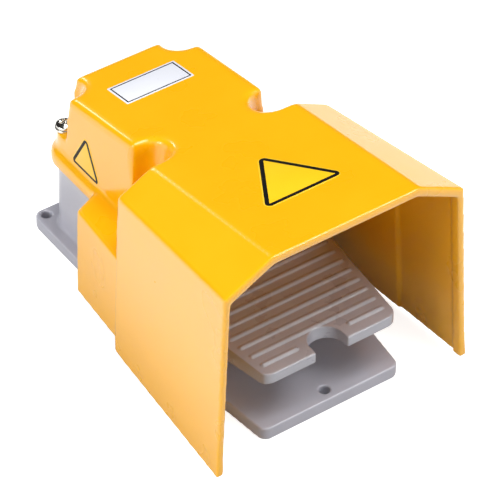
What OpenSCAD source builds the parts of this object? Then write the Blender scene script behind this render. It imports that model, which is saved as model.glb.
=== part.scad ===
// Industrial foot switch with a full die-cast guard.
// X runs across the pedal, -Y is the open mouth, +Y is the cable end, Z is up.
// The origin is the centre of the bounding box, on the floor.

/* [Base casting] */
// Width of the base plate at its front edge
plate_front_w = 86; // [80:1:92]
// Distance that the base plate stands out beside the housing
plate_side = 7; // [6:0.5:8]
// Thickness of the base plate and of its mounting flange
plate_t = 8; // [7:0.5:10]
// Length over which the base plate tapers to its front edge
plate_taper_l = 71; // [60:1:74]
// Radius of the corners of the base plate
plate_corner_r = 5; // [3:0.5:8]
// Depth of the pockets in the underside of the plate
pocket_depth = 4.5; // [3:0.5:5]
// Thickness of the ribs between the underside pockets
pocket_rib_t = 3; // [2:0.5:5]
// Width of the rim around the underside pockets
pocket_rim = 5; // [4:0.5:6]
// Distance between the ribs that run along the plate
pocket_pitch_x = 26; // [22:1:28]
// Distance between the ribs that run across the plate
pocket_pitch_y = 34; // [28:1:36]
// Width of the switch housing at the plate
housing_w = 88; // [86:1:90]
// Length of the switch housing at the plate
housing_l = 105; // [103:1:106]
// Height of the housing wall above the floor
housing_h = 56; // [54:1:58]
// Thickness of the housing walls
housing_wall = 4; // [3:0.5:4.5]
// Radius of the vertical corners of the housing
housing_corner_r = 12; // [10:0.5:13]
// Draft of the housing walls in degrees
housing_draft = 2; // [0.5:0.25:2.5]
// Distance that the flange reaches behind the housing
flange_rear = 8; // [7:0.5:10]
// Wall of the bosses around the bushes and the cable entry
boss_wall = 3; // [2:0.5:4]

/* [Mounting holes] */
// Diameter of the three mounting holes
mount_hole_d = 6; // [5:0.5:6.5]
// Distance from the side of the flange to the rear holes
rear_hole_side = 6; // [5.5:0.25:6.5]
// Distance from the flange rear edge to the rear holes
rear_hole_edge = 5; // [4.5:0.5:6]
// Distance from the front edge to the front hole
front_hole_edge = 7; // [6:0.5:10]
// Material around the mounting holes inside the underside pockets
hole_pad = 4; // [3:0.5:5]

/* [Guard] */
// Distance from the mouth to the rear wall of the guard
guard_l = 108.5; // [106:0.5:110]
// Height of the roof at the mouth
guard_h = 136; // [132:1:142]
// Slope of the roof in degrees, falling to the rear
roof_angle = 9.5; // [8:0.25:10.5]
// Width of the flat roof between its two creases
roof_w = 88.6; // [86:0.2:92]
// Angle of the sloped shoulders below the roof plane
shoulder_angle = 26.8; // [22:0.2:30]
// Room between the housing and the side of the mouth, beside the pedal hub
side_room = 28.5; // [27.5:0.25:31]
// Draft of the guard sides in degrees
side_draft = 3.1; // [2:0.1:3.6]
// Flare of the guard sides to the mouth in degrees
side_flare = 4.3; // [3.5:0.1:5]
// Height of the lower edge of the guard above the floor
guard_gap = 3.5; // [3:0.5:5]
// Wall of the guard sides and roof
guard_wall = 4; // [3.5:0.25:4.5]
// Wall of the thinner side panels behind the rim
panel_wall = 2.8; // [2.4:0.1:3.2]
// Distance from the mouth to the rear end of the thin panels
panel_l = 49; // [40:1:60]
// Depth of the thickened rim around the mouth
rim_depth = 6; // [4:0.5:10]
// Thickness of the rim under the roof
rim_roof_t = 5.6; // [4.8:0.2:6]

/* [Wings and box] */
// Distance that the wings stand in from the guard sides
wing_inset = 2; // [1:0.25:3]
// Height of the top of the wings
wing_h = 64; // [62:1:66]
// Height of the lower edge of the wings above the base plate
wing_gap = 1; // [0.6:0.2:2]
// Length of the wings behind the guard on their outer side
wing_l = 46; // [44:1:47]
// Slant of the rear faces of the wings in degrees
wing_slant = 24; // [18:1:26]
// Distance that the switch box stands out over the foot of the housing
box_step = 0.4; // [0:0.1:0.8]
// Draft of the box walls in degrees
box_draft = 3.4; // [2.5:0.1:3.8]
// Wall of the switch box
box_wall = 5; // [4:0.25:5.5]
// Wall between the screw recesses and the room of the box
recess_wall = 3.5; // [3:0.25:4]
// Height of the neck of the box over the gasket
neck_h = 5; // [4:0.5:6]
// Amount that the lip stands out from the box
lip_out = 2.8; // [2:0.2:3.5]
// Lower edge of the lip below the top of the housing
lip_drop = 2; // [1:0.25:3]
// Clearance of the cover around the housing
cover_clearance = 0.4; // [0.3:0.1:0.6]

/* [Cover screws and gasket] */
// Distance from the side of the housing to the cover screws
screw_side = 6.5; // [6.25:0.25:7]
// Distance from the rear of the housing to the rear cover screws
screw_rear = 9.5; // [9:0.5:10]
// Radius of the half-round screw recesses
recess_r = 11; // [10:0.25:11.5]
// Height of the ledges under the cover screws
ledge_h = 75; // [70:0.5:78]
// Diameter of the cover screws
cover_screw_d = 5; // [4:0.5:6]
// Depth of the cover screws in the base
cover_screw_grip = 11; // [8:1:14]
// Outer diameter of the cover washers
cover_washer_d = 11; // [10:0.5:12]
// Thickness of the cover washers
cover_washer_t = 1; // [0.8:0.1:1.5]
// Radial clearance of the cover screws in the cover and in the washers
screw_clearance = 0.3; // [0.2:0.05:0.4]
// Thickness of the cover gasket
gasket_t = 1.5; // [1:0.25:2]

/* [Pedal] */
// Setback of the pedal front edge from the mouth
pedal_setback = 11; // [9:0.5:14]
// Width of the pedal at its front edge
pedal_front_w = 82; // [78:1:84]
// Height of the pedal surface at the front edge
pedal_h = 44.7; // [42:0.5:47]
// Rest tilt of the pedal, falling to the rear, in degrees
pedal_tilt = 1.5; // [0.5:0.25:2]
// Thickness of the pedal front edge
pedal_edge_t = 6.8; // [6:0.2:8]
// Thickness of the pedal top skin
pedal_skin_t = 4.5; // [4:0.25:5.5]
// Thickness of the pedal side skirts
pedal_skirt_t = 4; // [3:0.5:5]
// Radius of the pedal front corners
pedal_corner_r = 6; // [4:0.5:8]
// Radius of the notch over the front mounting screw
notch_r = 10; // [8:0.5:11]
// Distance from the pedal front edge to the notch centre
notch_edge = 5; // [4:0.5:6]
// Distance between the grip ribs
rib_pitch = 8.4; // [8:0.1:9]
// Number of full-width grip ribs
rib_count = 8; // [6:1:8]
// Width of one grip rib
rib_w = 3; // [2.5:0.25:3.5]
// Height of one grip rib
rib_h = 1.2; // [0.8:0.1:1.5]
// Distance from the ends of the ribs to the pedal edge
rib_margin = 3.5; // [3:0.5:5]
// Distance of the stiffening ribs from the middle of the pedal
stiff_rib_x = 18; // [16:1:19]
// Thickness of the stiffening ribs under the pedal
stiff_rib_t = 3; // [2:0.5:4]
// Height of the stiffening ribs under the pedal skin
stiff_rib_h = 6; // [4:0.5:7]

/* [Pivot] */
// Distance from the rear of the guard to the pivot shaft
pivot_back = 30.5; // [29.5:0.5:31.5]
// Height of the pivot shaft
pivot_h = 30; // [28:0.5:31]
// Diameter of the pivot shaft
shaft_d = 10; // [9:0.5:11]
// Running clearance of the shaft in its bushes
shaft_clearance = 0.05; // [0.02:0.01:0.1]
// Wall of the bushes
bush_wall = 2; // [1.5:0.25:2.5]
// Length of the bushes inside the housing
bush_l = 8; // [7:0.5:10]
// Thickness of the bush flanges
bush_flange_t = 1.5; // [1:0.25:2]
// Distance that the flanges of the bushes and the clips stand out
flange_rim = 2.5; // [2:0.25:3]
// Thickness of the retaining clips
clip_t = 1; // [0.8:0.1:1.2]
// Diameter of the set screws in the hubs and in the striker
set_screw_d = 5; // [4:0.5:6]
// Outer diameter of the pedal hubs
hub_d = 20; // [19:0.5:21]
// Thickness of the pedal arms and hubs
hub_t = 9; // [8:0.5:10]
// Gap between the bush flanges and the pedal hubs
hub_gap = 0.6; // [0.4:0.1:1]
// Full travel of the pedal in degrees
pedal_travel = 8; // [6:0.5:9]

/* [Return spring] */
// Distance from the pivot shaft to the return spring
spring_arm = 59; // [57:1:64]
// Outer diameter of the return spring
spring_d = 20; // [16:1:22]
// Diameter of the spring wire
spring_wire = 2.2; // [1.8:0.1:2.6]
// Number of turns of the return spring
spring_turns = 6; // [5:0.5:7]
// Height of the rim around the lower seat of the spring
seat_rim_h = 4; // [3:0.5:5]
// Free gap between the spring and the rim of its seat
seat_gap = 2.2; // [1.5:0.1:2.5]
// Distance of the stop buffers from the middle of the pedal
stop_x = 28; // [26:0.5:29]
// Radius of the stop buffers' posts under the pedal
stop_r = 6; // [5:0.5:7]
// Thickness of the rubber buffers
stop_t = 4; // [3:0.5:5]
// Diameter of the stems of the buffers
stem_d = 5; // [4:0.5:6]

/* [Switches] */
// Length of one snap-action switch
switch_l = 49.2; // [48:0.2:50]
// Height of one snap-action switch case
switch_h = 24.2; // [22:0.2:25]
// Thickness of one snap-action switch
switch_t = 17.5; // [16:0.25:18]
// Height of the underside of the switches above the floor
switch_z = 52; // [51:0.5:54]
// Distance from the pivot shaft to the adjusting screws
striker_arm = 28; // [27:0.5:29]
// Width of the arms of the striker
arm_w = 8; // [7:0.5:9]
// Height of the arms of the striker
arm_t = 8; // [7:0.5:9]
// Diameter of the adjusting screws
adjust_d = 4; // [3:0.5:4]
// Distance from the adjusting screws to the lever pins
lever_arm = 25; // [24:0.5:26]
// Thickness of the levers of the switches
lever_t = 1; // [0.8:0.1:1.2]
// Width of the levers of the switches
lever_w = 6; // [5:0.5:7]
// Diameter of the lever pins
lever_pin_d = 2; // [1.5:0.25:2]
// Distance from the lever pins to the plungers
plunger_arm = 8; // [7.5:0.25:9]
// Diameter of the plungers
plunger_d = 3.6; // [3:0.2:4]
// Wall of the switch cases
case_wall = 2; // [1.5:0.25:2.5]
// Width of the terminals
terminal_w = 8; // [7:0.5:9]
// Length of the terminals
terminal_l = 12; // [10:0.5:12.5]
// Thickness of the terminals
terminal_t = 1; // [0.8:0.1:1.2]
// Diameter of the terminal screws
terminal_screw_d = 3.2; // [3:0.1:3.5]
// Thickness of the switch bracket
bracket_t = 3; // [2:0.25:3.5]
// Width of the upright of the switch bracket
bracket_leg_w = 18; // [16:1:20]
// Width of the foot of the switch bracket
bracket_foot_w = 32; // [30:1:34]
// Length of the foot of the switch bracket
bracket_foot_l = 16; // [14:1:18]
// Height of the pads under the bracket
bracket_pad_h = 3; // [2:0.5:4]
// Radius of the pads under the bracket and under the earth screw
pad_r = 5; // [4.5:0.25:5.5]
// Diameter of the bracket screws and of the earth screw
small_screw_d = 4; // [3.5:0.5:4]
// Spacing of the two switch fixing holes
switch_hole_pitch = 25.4; // [24:0.2:26]
// Diameter of the switch fixing screws
fixing_d = 3.9; // [3.5:0.1:4]

/* [Cable gland] */
// Diameter of the gland thread in the housing
gland_thread_d = 20; // [16:1:22]
// Height of the gland above the floor
gland_h = 32; // [30:1:34]
// Length of the gland outside the housing
gland_l = 22; // [20:1:26]
// Width across the flats of the gland
gland_flats = 24; // [24:1:27]
// Bore of the gland seal
gland_bore_d = 9; // [6:0.5:11]
// Length of the gland thread inside the housing
gland_grip = 10; // [9:0.5:11]
// Thickness of the hexagon of the gland
gland_hex_t = 6; // [5:0.5:7]
// Thickness of the washer under the gland
gland_washer_t = 1.5; // [1:0.25:2]
// Length of the gland seal
gland_seal_l = 10; // [8:0.5:11]
// Wall of the gland body around the seal
gland_wall = 2; // [1.5:0.25:2.5]

/* [Hidden] */
$fn = 64;
eps = 0.01;
big = 700;
gap = 0.3;                      // free gap between pieces that must not touch

// Stations along Y, counted from the mouth
housing_front_l = guard_l - 0.5;
housing_rear_l = housing_front_l + housing_l;
total_l = housing_rear_l + gland_l;
mouth_y = -total_l / 2;
mouth_w = housing_w + 2 * side_room;
plate_w = housing_w + 2 * plate_side;
plate_front_y = mouth_y + pedal_setback - 0.5;
guard_rear_y = mouth_y + guard_l;
housing_front_y = mouth_y + housing_front_l;
housing_rear_y = mouth_y + housing_rear_l;
plate_rear_y = housing_rear_y + flange_rear;
pivot_y = guard_rear_y + pivot_back;
screw_front_y = guard_rear_y + recess_r;
screw_rear_y = housing_rear_y - screw_rear;
screw_x = housing_w / 2 - screw_side;
rear_hole_y = plate_rear_y - rear_hole_edge;
rear_hole_x = plate_w / 2 - rear_hole_side;
front_hole_y = plate_front_y + front_hole_edge;
wing_rear_y = guard_rear_y + wing_l;

// Cover
gasket_z = housing_h + gasket_t;
lip_z = housing_h - lip_drop;
lip_top_z = wing_h;
box_w = housing_w + 2 * box_step;
box_half = box_w / 2;
box_rear_y = housing_rear_y - 1.5;
box_corner_r = housing_corner_r;
shoulder_z = guard_h - (mouth_w - roof_w) / 2 * tan(shoulder_angle) / cos(roof_angle);
wing_z = plate_t + wing_gap;
wall_rear_y = guard_rear_y - guard_wall;

// Housing
housing_in_w = housing_w - 2 * housing_wall;
housing_in_r = housing_corner_r - housing_wall;
wall_x = housing_w / 2;
housing_lean = (housing_h - plate_t) * tan(housing_draft);
column_r = screw_side - housing_lean - 0.2;
screw_hole_r = cover_screw_d / 2 + screw_clearance;

// Pivot and pedal
shaft_r = shaft_d / 2;
bush_r = shaft_r + shaft_clearance + bush_wall;
hub_x = wall_x + bush_flange_t + hub_gap;
hub_out_x = hub_x + hub_t;
clip_x = hub_out_x + shaft_clearance;
shaft_l = 2 * (clip_x + 2 * clip_t);
pedal_front_y = mouth_y + pedal_setback;
pedal_rear_y = wall_rear_y - 2.5;
side_taper = (plate_w - plate_front_w) / 2 / plate_taper_l;
pedal_l = pedal_rear_y - pedal_front_y;
pedal_under_rear = pivot_h - 3;
hub_r = hub_d / 2;
arm_x = hub_x + hub_t * 2 / 3;
spring_y = pivot_y - spring_arm;
spring_seat_z = plate_t + seat_rim_h / 2;
seat_rim_t = seat_rim_h / 2;
pedal_top_at_spring = pedal_h - (spring_y - pedal_front_y) * tan(pedal_tilt);
pedal_under_z = pedal_top_at_spring - pedal_skin_t / cos(pedal_tilt);
spring_top_z = pedal_under_z - 1.2;
stem_l = stop_t;
stop_top_z = pivot_h + (pedal_under_z - pivot_h) * cos(pedal_travel)
    - (spring_arm + stop_r) * sin(pedal_travel) - gap;
stop_post_z = stop_top_z - stop_t;

// Switches
switch_front_y = pivot_y + 7;
switch_x = bracket_t / 2 + switch_t / 2;
striker_y = pivot_y + striker_arm;
lever_pin_y = striker_y + lever_arm;
lever_pin_z = switch_z - 1.8;
lever_rest = 9.5;
plunger_reach = 3.8;             // how far the plungers stand inside their cases at rest
plunger_y = lever_pin_y - plunger_arm;
lever_under_z = lever_pin_z - lever_arm * tan(lever_rest) - lever_t / 2 / cos(lever_rest);
striker_tip_z = lever_under_z - gap;
arm_z0 = pivot_h - 1;
rest_y = pivot_y + 16;
rest_post_z = arm_z0 - gap - stop_t;
bracket_foot_x = bracket_foot_w / 2 - pad_r;
bracket_foot_y = lever_pin_y - bracket_leg_w / 4;
bracket_foot_z = plate_t + bracket_pad_h;
fixing_z = switch_z + 7.5;
switch_rear_y = switch_front_y + switch_l;
switch_mid_y = switch_front_y + switch_l / 2;
case_h = switch_h * 0.63;
lug_t = 0.8 * case_wall;         // lugs that carry the lever pins
lug_r = lever_pin_d / 2 + 1.2;
cover_seam_z = switch_z + case_h;
switch_top_z = switch_z + switch_h;
earth_x = -bracket_foot_w / 2 - 2 * pad_r - 1;
earth_y = bracket_foot_y;
earth_z = plate_t + pad_r;
terminal_screw_l = 2 * terminal_screw_d;
terminal_ys = [switch_front_y + terminal_w, switch_mid_y, switch_rear_y - terminal_w];

// Cable gland
gland_seal_r = gland_thread_d / 2 - gland_wall - 0.5;
gland_cap_t = 1.5 * gland_wall;   // end wall of the gland nut
gland_nut_y = gland_washer_t + gland_hex_t + gap;

yellow = "#f5b800";
cast_grey = "#8f9096";
steel = "#c9ccd0";
black_rubber = "#26272a";
phenolic = "#5a3a24";
brass = "#c9a24a";

// ---------- Shapes shared by several pieces ----------

// Rectangle with round corners, centred in X, from y0 to y1
module rounded_rect(w, y0, y1, r) {
    translate([-w / 2 + r, y0]) square([w - 2 * r, y1 - y0]);
    translate([-w / 2, y0 + r]) square([w, y1 - y0 - 2 * r]);
    for (x = [-w / 2 + r, w / 2 - r], y = [y0 + r, y1 - r]) translate([x, y]) circle(r);
}

// Outline that widens from a front edge with two round corners, drawn a distance in from its edge;
// past rear_y it may run on straight, with round rear corners
module tapered_front(front_w, front_y, rear_y, r, inset = 0, straight = 0) {
    lean = atan(side_taper);
    y0 = front_y + inset;
    half = front_w / 2 + side_taper * inset - inset / cos(lean);
    rear_half = half + side_taper * (rear_y - y0);
    centre_x = half + side_taper * r - r / cos(lean);
    side = [[centre_x, y0], [centre_x + r * cos(lean), y0 + r - r * sin(lean)], [rear_half, rear_y]];
    tail = straight > 0 ? [[rear_half, rear_y + straight - r], [rear_half - r, rear_y + straight]] : [];
    right = concat(side, tail);
    left = [for (i = [len(right) - 1 : -1 : 0]) [-right[i][0], right[i][1]]];
    polygon(concat(right, left));
    for (x = [-1, 1]) {
        translate([x * centre_x, y0 + r]) circle(r);
        if (straight > 0) translate([x * (rear_half - r), rear_y + straight - r]) circle(r);
    }
}

// Box with round vertical corners whose four walls lean in by angle a
module drafted_box(w, y0, y1, z0, z1, r, a) {
    h = z1 - z0;
    lean = h * tan(a);
    for (x = [-w / 2 + r, w / 2 - r], y = [y0 + r, y1 - r])
        translate([x, y, z0]) cylinder(h, r, r - lean);
    translate([w / 2 - r, 0, 0]) rotate([0, -90, 0]) linear_extrude(w - 2 * r)
        polygon([[z0, y0], [z0, y1], [z1, y1 - lean], [z1, y0 + lean]]);
    translate([0, y1 - r, 0]) rotate([90, 0, 0]) linear_extrude(y1 - y0 - 2 * r)
        polygon([[-w / 2, z0], [w / 2, z0], [w / 2 - lean, z1], [-w / 2 + lean, z1]]);
}

// Straight tube or ring along Z
module ring(h, r_out, r_in) {
    difference() {
        cylinder(h, r = r_out);
        translate([0, 0, -1]) cylinder(h + 2, r = r_in);
    }
}

// Screw with a pan head and a cross recess; the head sits on z = 0
module pan_screw(d, l) {
    head_d = 2 * d;
    head_h = 0.7 * d;
    difference() {
        union() {
            translate([0, 0, -l]) cylinder(l + 1, r = d / 2);
            intersection() {
                cylinder(head_h, r = head_d / 2);
                translate([0, 0, head_h - head_d * 0.8]) sphere(head_d * 0.8);
            }
        }
        for (a = [0, 90]) rotate(a) translate([-0.55 * d, -0.09 * d, 0.4 * d])
            cube([1.1 * d, 0.18 * d, d]);
    }
}

// Socket set screw with a flat point; its top face is at z = 0
module set_screw(d, l) {
    difference() {
        translate([0, 0, -l]) cylinder(l, r = d / 2);
        translate([0, 0, -d * 0.6]) cylinder(d, r = d * 0.29, $fn = 6);
    }
}

// Hexagon nut with its lower face at z = 0
module hex_nut(d) {
    h = nut_h(d);
    difference() {
        cylinder(h, r = 0.875 * d / cos(30), $fn = 6);
        translate([0, 0, -1]) cylinder(h + 2, r = d / 2);
    }
}

function nut_h(d) = 0.8 * d;

// Places a child at each of the four cover screws
module at_cover_screws(z) {
    for (x = [-screw_x, screw_x], y = [screw_front_y, screw_rear_y])
        translate([x, y, z]) children();
}

// Places a child on the left and its mirror image on the right
module both_sides() {
    children();
    mirror([1, 0, 0]) children();
}

// ---------- Base casting ----------

// Outline of the base plate, drawn a distance in from its edge
module plate_outline(inset) {
    r = max(plate_corner_r - inset, 1);
    wide = plate_front_y + plate_taper_l + inset * (1 / cos(atan(side_taper)) - 1) / side_taper;
    tapered_front(plate_front_w, plate_front_y, wide, r, inset, plate_rear_y - inset - wide);
}

// Material that stays around a mounting hole inside the underside pockets
module hole_pads() {
    r = mount_hole_d / 2 + hole_pad;
    translate([0, front_hole_y]) circle(r);
    for (x = [-rear_hole_x, rear_hole_x]) translate([x, rear_hole_y]) circle(r);
}

module underside_pockets() {
    translate([0, 0, -1]) linear_extrude(pocket_depth + 1) difference() {
        plate_outline(pocket_rim);
        hole_pads();
        for (i = [-1 : 1]) translate([i * pocket_pitch_x - pocket_rib_t / 2, -big / 2])
            square([pocket_rib_t, big]);
        for (y = [plate_front_y + pocket_pitch_y : pocket_pitch_y : plate_rear_y - 2 * pocket_rim])
            translate([-big / 2, y]) square([big, pocket_rib_t]);
    }
}

module base_casting() color(cast_grey) {
    pilot_r = cover_screw_d / 2;
    pilot_z = housing_h - cover_screw_grip - 3;
    seat_r = spring_d / 2 + seat_gap;
    entry_boss_y = housing_rear_y - housing_wall + 1;
    difference() {
        union() {
            difference() {
                union() {
                    linear_extrude(plate_t) plate_outline(0);
                    drafted_box(housing_w, housing_front_y, housing_rear_y, plate_t - eps,
                                housing_h, housing_corner_r, housing_draft);
                }
                // Inside of the housing
                translate([0, 0, plate_t]) linear_extrude(housing_h) rounded_rect(
                    housing_in_w - 2 * housing_lean, housing_front_y + housing_wall + housing_lean,
                    housing_rear_y - housing_wall - housing_lean, housing_in_r);
            }
            // Columns under the cover screws
            at_cover_screws(plate_t - eps) cylinder(housing_h - plate_t + eps, r = column_r);
            // Bosses around the pivot bushes
            both_sides() translate([-wall_x + housing_wall / 2, pivot_y, pivot_h]) rotate([0, 90, 0])
                cylinder(bush_l, r = bush_r + boss_wall);
            // Boss around the cable entry
            translate([0, entry_boss_y, gland_h]) rotate([90, 0, 0])
                cylinder(gland_grip - 1, r = gland_thread_d / 2 + boss_wall);
            // Pads under the switch bracket and the earth screw
            for (x = [-1, 1]) translate([x * bracket_foot_x, bracket_foot_y, plate_t - eps])
                cylinder(bracket_pad_h, r = pad_r);
            translate([earth_x, earth_y, plate_t - eps]) cylinder(earth_z - plate_t, r = pad_r);
            // Post of the rest buffer
            translate([0, rest_y, plate_t - eps]) cylinder(rest_post_z - plate_t, r = stop_r);
            // Seat of the return spring and the posts of the stop buffers
            translate([0, spring_y, plate_t - eps]) ring(seat_rim_h, seat_r + seat_rim_t, seat_r);
            translate([0, spring_y, plate_t - eps])
                cylinder(spring_seat_z - plate_t, r = seat_r + seat_rim_t / 2);
            for (x = [-1, 1]) translate([x * stop_x, spring_y, plate_t - eps])
                cylinder(stop_post_z - plate_t, r = stop_r + 1);
        }
        underside_pockets();
        // Mounting holes
        translate([0, front_hole_y, -1]) cylinder(plate_t + 2, r = mount_hole_d / 2);
        for (x = [-rear_hole_x, rear_hole_x]) translate([x, rear_hole_y, -1])
            cylinder(plate_t + 2, r = mount_hole_d / 2);
        // Tapped holes for the cover screws
        at_cover_screws(pilot_z) cylinder(big, r = pilot_r);
        // Bores of the bushes
        translate([-big / 2, pivot_y, pivot_h]) rotate([0, 90, 0]) cylinder(big, r = bush_r);
        // Cable entry
        translate([0, housing_rear_y + 1, gland_h]) rotate([90, 0, 0])
            cylinder(gland_grip + housing_wall + 2, r = gland_thread_d / 2);
        // Tapped holes of the bracket and earth screws
        for (x = [-1, 1]) translate([x * bracket_foot_x, bracket_foot_y, plate_t - 1])
            cylinder(bracket_pad_h + 2, r = small_screw_d / 2);
        translate([earth_x, earth_y, plate_t - 1]) cylinder(earth_z - plate_t + 2, r = small_screw_d / 2);
        // Stem holes of the buffers
        translate([0, rest_y, rest_post_z - stem_l - 1]) cylinder(stem_l + 2, r = stem_d / 2);
        for (x = [-1, 1]) translate([x * stop_x, spring_y, stop_post_z - stem_l - 1])
            cylinder(stem_l + 2, r = stem_d / 2);
    }
}

// ---------- Guard cover ----------

// Space inside the guard's roof, shoulders and sides, each face moved in by its own wall
module guard_space(side_t, roof_t, y0, y1, z0) {
    intersection() {
        translate([-big / 2, y0, z0]) cube([big, y1 - y0, big]);
        under_roof(roof_t);
        shoulder_side(roof_t);
        mirror([1, 0, 0]) shoulder_side(roof_t);
        guard_side(side_t);
        mirror([1, 0, 0]) guard_side(side_t);
    }
}

// Half space under the right shoulder
module shoulder_side(t) {
    translate([roof_w / 2, mouth_y, guard_h]) rotate([-roof_angle, 0, 0]) rotate([0, shoulder_angle, 0])
        translate([-big / 2, -big / 2, -big - t]) cube([big, big, big]);
}

// Half space inside the right guard side
module guard_side(t) {
    translate([mouth_w / 2, mouth_y, shoulder_z]) rotate([0, -side_draft, side_flare])
        translate([-big - t, -big / 2, -big / 2]) cube([big, big, big]);
}

// Plan of the two wings; their rear faces slant towards the box
module wing_plan(inset, inner_x) {
    front = wall_rear_y - 1;
    outer_x = mouth_w / 2 - guard_l * tan(side_flare) - wing_inset;
    far_x = mouth_w / 2 + housing_wall;
    slope = tan(wing_slant);
    rear = wing_rear_y - inset / cos(wing_slant);
    for (m = [0, 1]) mirror([m, 0]) polygon([
        [inner_x, front], [far_x, front],
        [far_x, rear - (far_x - outer_x) * slope], [inner_x, rear + (outer_x - inner_x) * slope]
    ]);
}

module wing_form(side_t, rear_t, inner_x, z0, z1) {
    intersection() {
        translate([0, 0, z0]) linear_extrude(z1 - z0) wing_plan(rear_t, inner_x);
        guard_side(side_t);
        mirror([1, 0, 0]) guard_side(side_t);
    }
}

// Everything under the roof plane, moved down by t
module under_roof(t) {
    translate([0, mouth_y, guard_h]) rotate([-roof_angle, 0, 0])
        translate([-big / 2, -big / 2, -big - t]) cube([big, big, big]);
}

// Outer form of the switch box, with the lip around its foot
module box_form() {
    front = guard_rear_y - guard_wall / 2 - box_corner_r;
    lip_w = box_w + 2 * lip_out;
    lip_rear = box_rear_y + lip_out;
    lip_r = box_corner_r + lip_out;
    bevel = lip_out * 0.85;
    intersection() {
        union() {
            drafted_box(box_w, front, box_rear_y, lip_z, guard_h, box_corner_r, box_draft);
            translate([0, 0, lip_z]) linear_extrude(lip_top_z - bevel - lip_z)
                rounded_rect(lip_w, front, lip_rear, lip_r);
            drafted_box(lip_w, front, lip_rear, lip_top_z - bevel - eps, lip_top_z, lip_r, 45);
        }
        under_roof(0);
    }
}

// Hollow of the switch box: a neck over the gasket and a wider room above it
module box_room() {
    neck_wall = 1.5 * housing_wall;
    difference() {
        union() {
            translate([0, 0, lip_z]) linear_extrude(gasket_z + neck_h - lip_z) rounded_rect(
                housing_w - 2 * neck_wall, housing_front_y + neck_wall,
                housing_rear_y - neck_wall, housing_in_r);
            intersection() {
                drafted_box(box_w - 2 * box_wall, guard_rear_y + 1, box_rear_y - box_wall,
                            gasket_z + neck_h - 1, guard_h, housing_in_r, box_draft);
                under_roof(guard_wall);
            }
        }
        at_cover_screws(0) cylinder(big, r = recess_r + recess_wall);
    }
}

module guard_cover() color(yellow) {
    seat_lean = (lip_z - plate_t) * tan(housing_draft) - cover_clearance;
    lip_x = box_half + lip_out;
    difference() {
        union() {
            guard_space(0, 0, mouth_y, guard_rear_y, guard_gap);
            wing_form(wing_inset, 0, wall_x - 3, wing_z, wing_h);
            box_form();
        }
        // Foot space: rim, thin panels behind it, full wall further in
        guard_space(guard_wall, rim_roof_t, mouth_y - 1, wall_rear_y, -1);
        guard_space(panel_wall, guard_wall, mouth_y + rim_depth, mouth_y + panel_l, -1);
        guard_space(guard_wall, guard_wall, mouth_y + panel_l - 1, wall_rear_y, -1);
        // The foot space runs on into the wings and up to the housing
        wing_form(wing_inset + guard_wall, guard_wall, lip_x, -1, wing_h - guard_wall);
        wing_form(wing_inset + guard_wall, guard_wall, wall_x - 3, -1, lip_z);
        translate([-lip_x, wall_rear_y - 1, -1])
            cube([2 * lip_x, housing_front_y + housing_corner_r - wall_rear_y + 1, lip_z + 1]);
        translate([0, 0, -1]) linear_extrude(lip_z + 1)
            rounded_rect(housing_w + 2 * cover_clearance, housing_front_y,
                         housing_rear_y + cover_clearance, housing_corner_r + cover_clearance);
        // Seat over the rim of the housing
        translate([0, 0, lip_z - 1]) linear_extrude(gasket_z - lip_z + 1) rounded_rect(
            housing_w - 2 * seat_lean, housing_front_y + seat_lean, housing_rear_y - seat_lean,
            housing_corner_r - seat_lean);
        box_room();
        // Half-round recesses over the screws, and the screw holes
        at_cover_screws(ledge_h) cylinder(big, r = recess_r);
        both_sides() translate([screw_x, guard_rear_y, ledge_h]) cube([big, recess_r, big]);
        at_cover_screws(-1) cylinder(big, r = screw_hole_r);
    }
}

// ---------- Cover fixing ----------

module cover_gasket() color(black_rubber) {
    translate([0, 0, housing_h]) linear_extrude(gasket_t) difference() {
        rounded_rect(housing_w - 2 * housing_lean, housing_front_y + housing_lean,
                     housing_rear_y - housing_lean, housing_corner_r - housing_lean);
        difference() {
            rounded_rect(housing_in_w - 2 * housing_lean, housing_front_y + housing_wall + housing_lean,
                         housing_rear_y - housing_wall - housing_lean, housing_in_r);
            for (x = [-screw_x, screw_x], y = [screw_front_y, screw_rear_y])
                translate([x, y]) circle(column_r);
        }
        for (x = [-screw_x, screw_x], y = [screw_front_y, screw_rear_y])
            translate([x, y]) circle(screw_hole_r);
    }
}

module cover_screws() color(steel) {
    length = ledge_h + cover_washer_t - housing_h + cover_screw_grip;
    at_cover_screws(ledge_h + cover_washer_t) pan_screw(cover_screw_d, length);
}

module cover_washers() color(steel) {
    at_cover_screws(ledge_h) ring(cover_washer_t, cover_washer_d / 2, screw_hole_r);
}

// ---------- Pedal ----------

// Side profile of the pedal plate between two surfaces parallel to its top
module pedal_profile(top_drop, under_drop) {
    fall = tan(pedal_tilt);
    skirt_z = pedal_h - pedal_edge_t;
    rotate([90, 0, 90]) translate([0, 0, -big / 2]) linear_extrude(big) polygon([
        [pedal_front_y - 1, pedal_h + fall - top_drop],
        [pedal_rear_y, pedal_h - pedal_l * fall - top_drop],
        [pedal_rear_y, under_drop > 0 ? pedal_h - pedal_l * fall - under_drop : pedal_under_rear],
        [pedal_front_y - 1, under_drop > 0 ? pedal_h + fall - under_drop : skirt_z]
    ]);
}

// One half-round grip rib with round ends from x0 to x1, lying on the pedal's tilted top
module grip_rib(x0, x1, back) {
    bulge = (rib_w * rib_w / 4 - rib_h * rib_h) / 2 / rib_h;
    rib_r = bulge + rib_h;
    translate([0, pedal_front_y + back, pedal_h - back * tan(pedal_tilt) - bulge]) {
        translate([x0 + rib_r, 0, 0]) rotate([0, 90, 0]) cylinder(x1 - x0 - 2 * rib_r, r = rib_r);
        for (x = [x0 + rib_r, x1 - rib_r]) translate([x, 0, 0]) rotate([0, 90, 0]) sphere(rib_r);
    }
}

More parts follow.
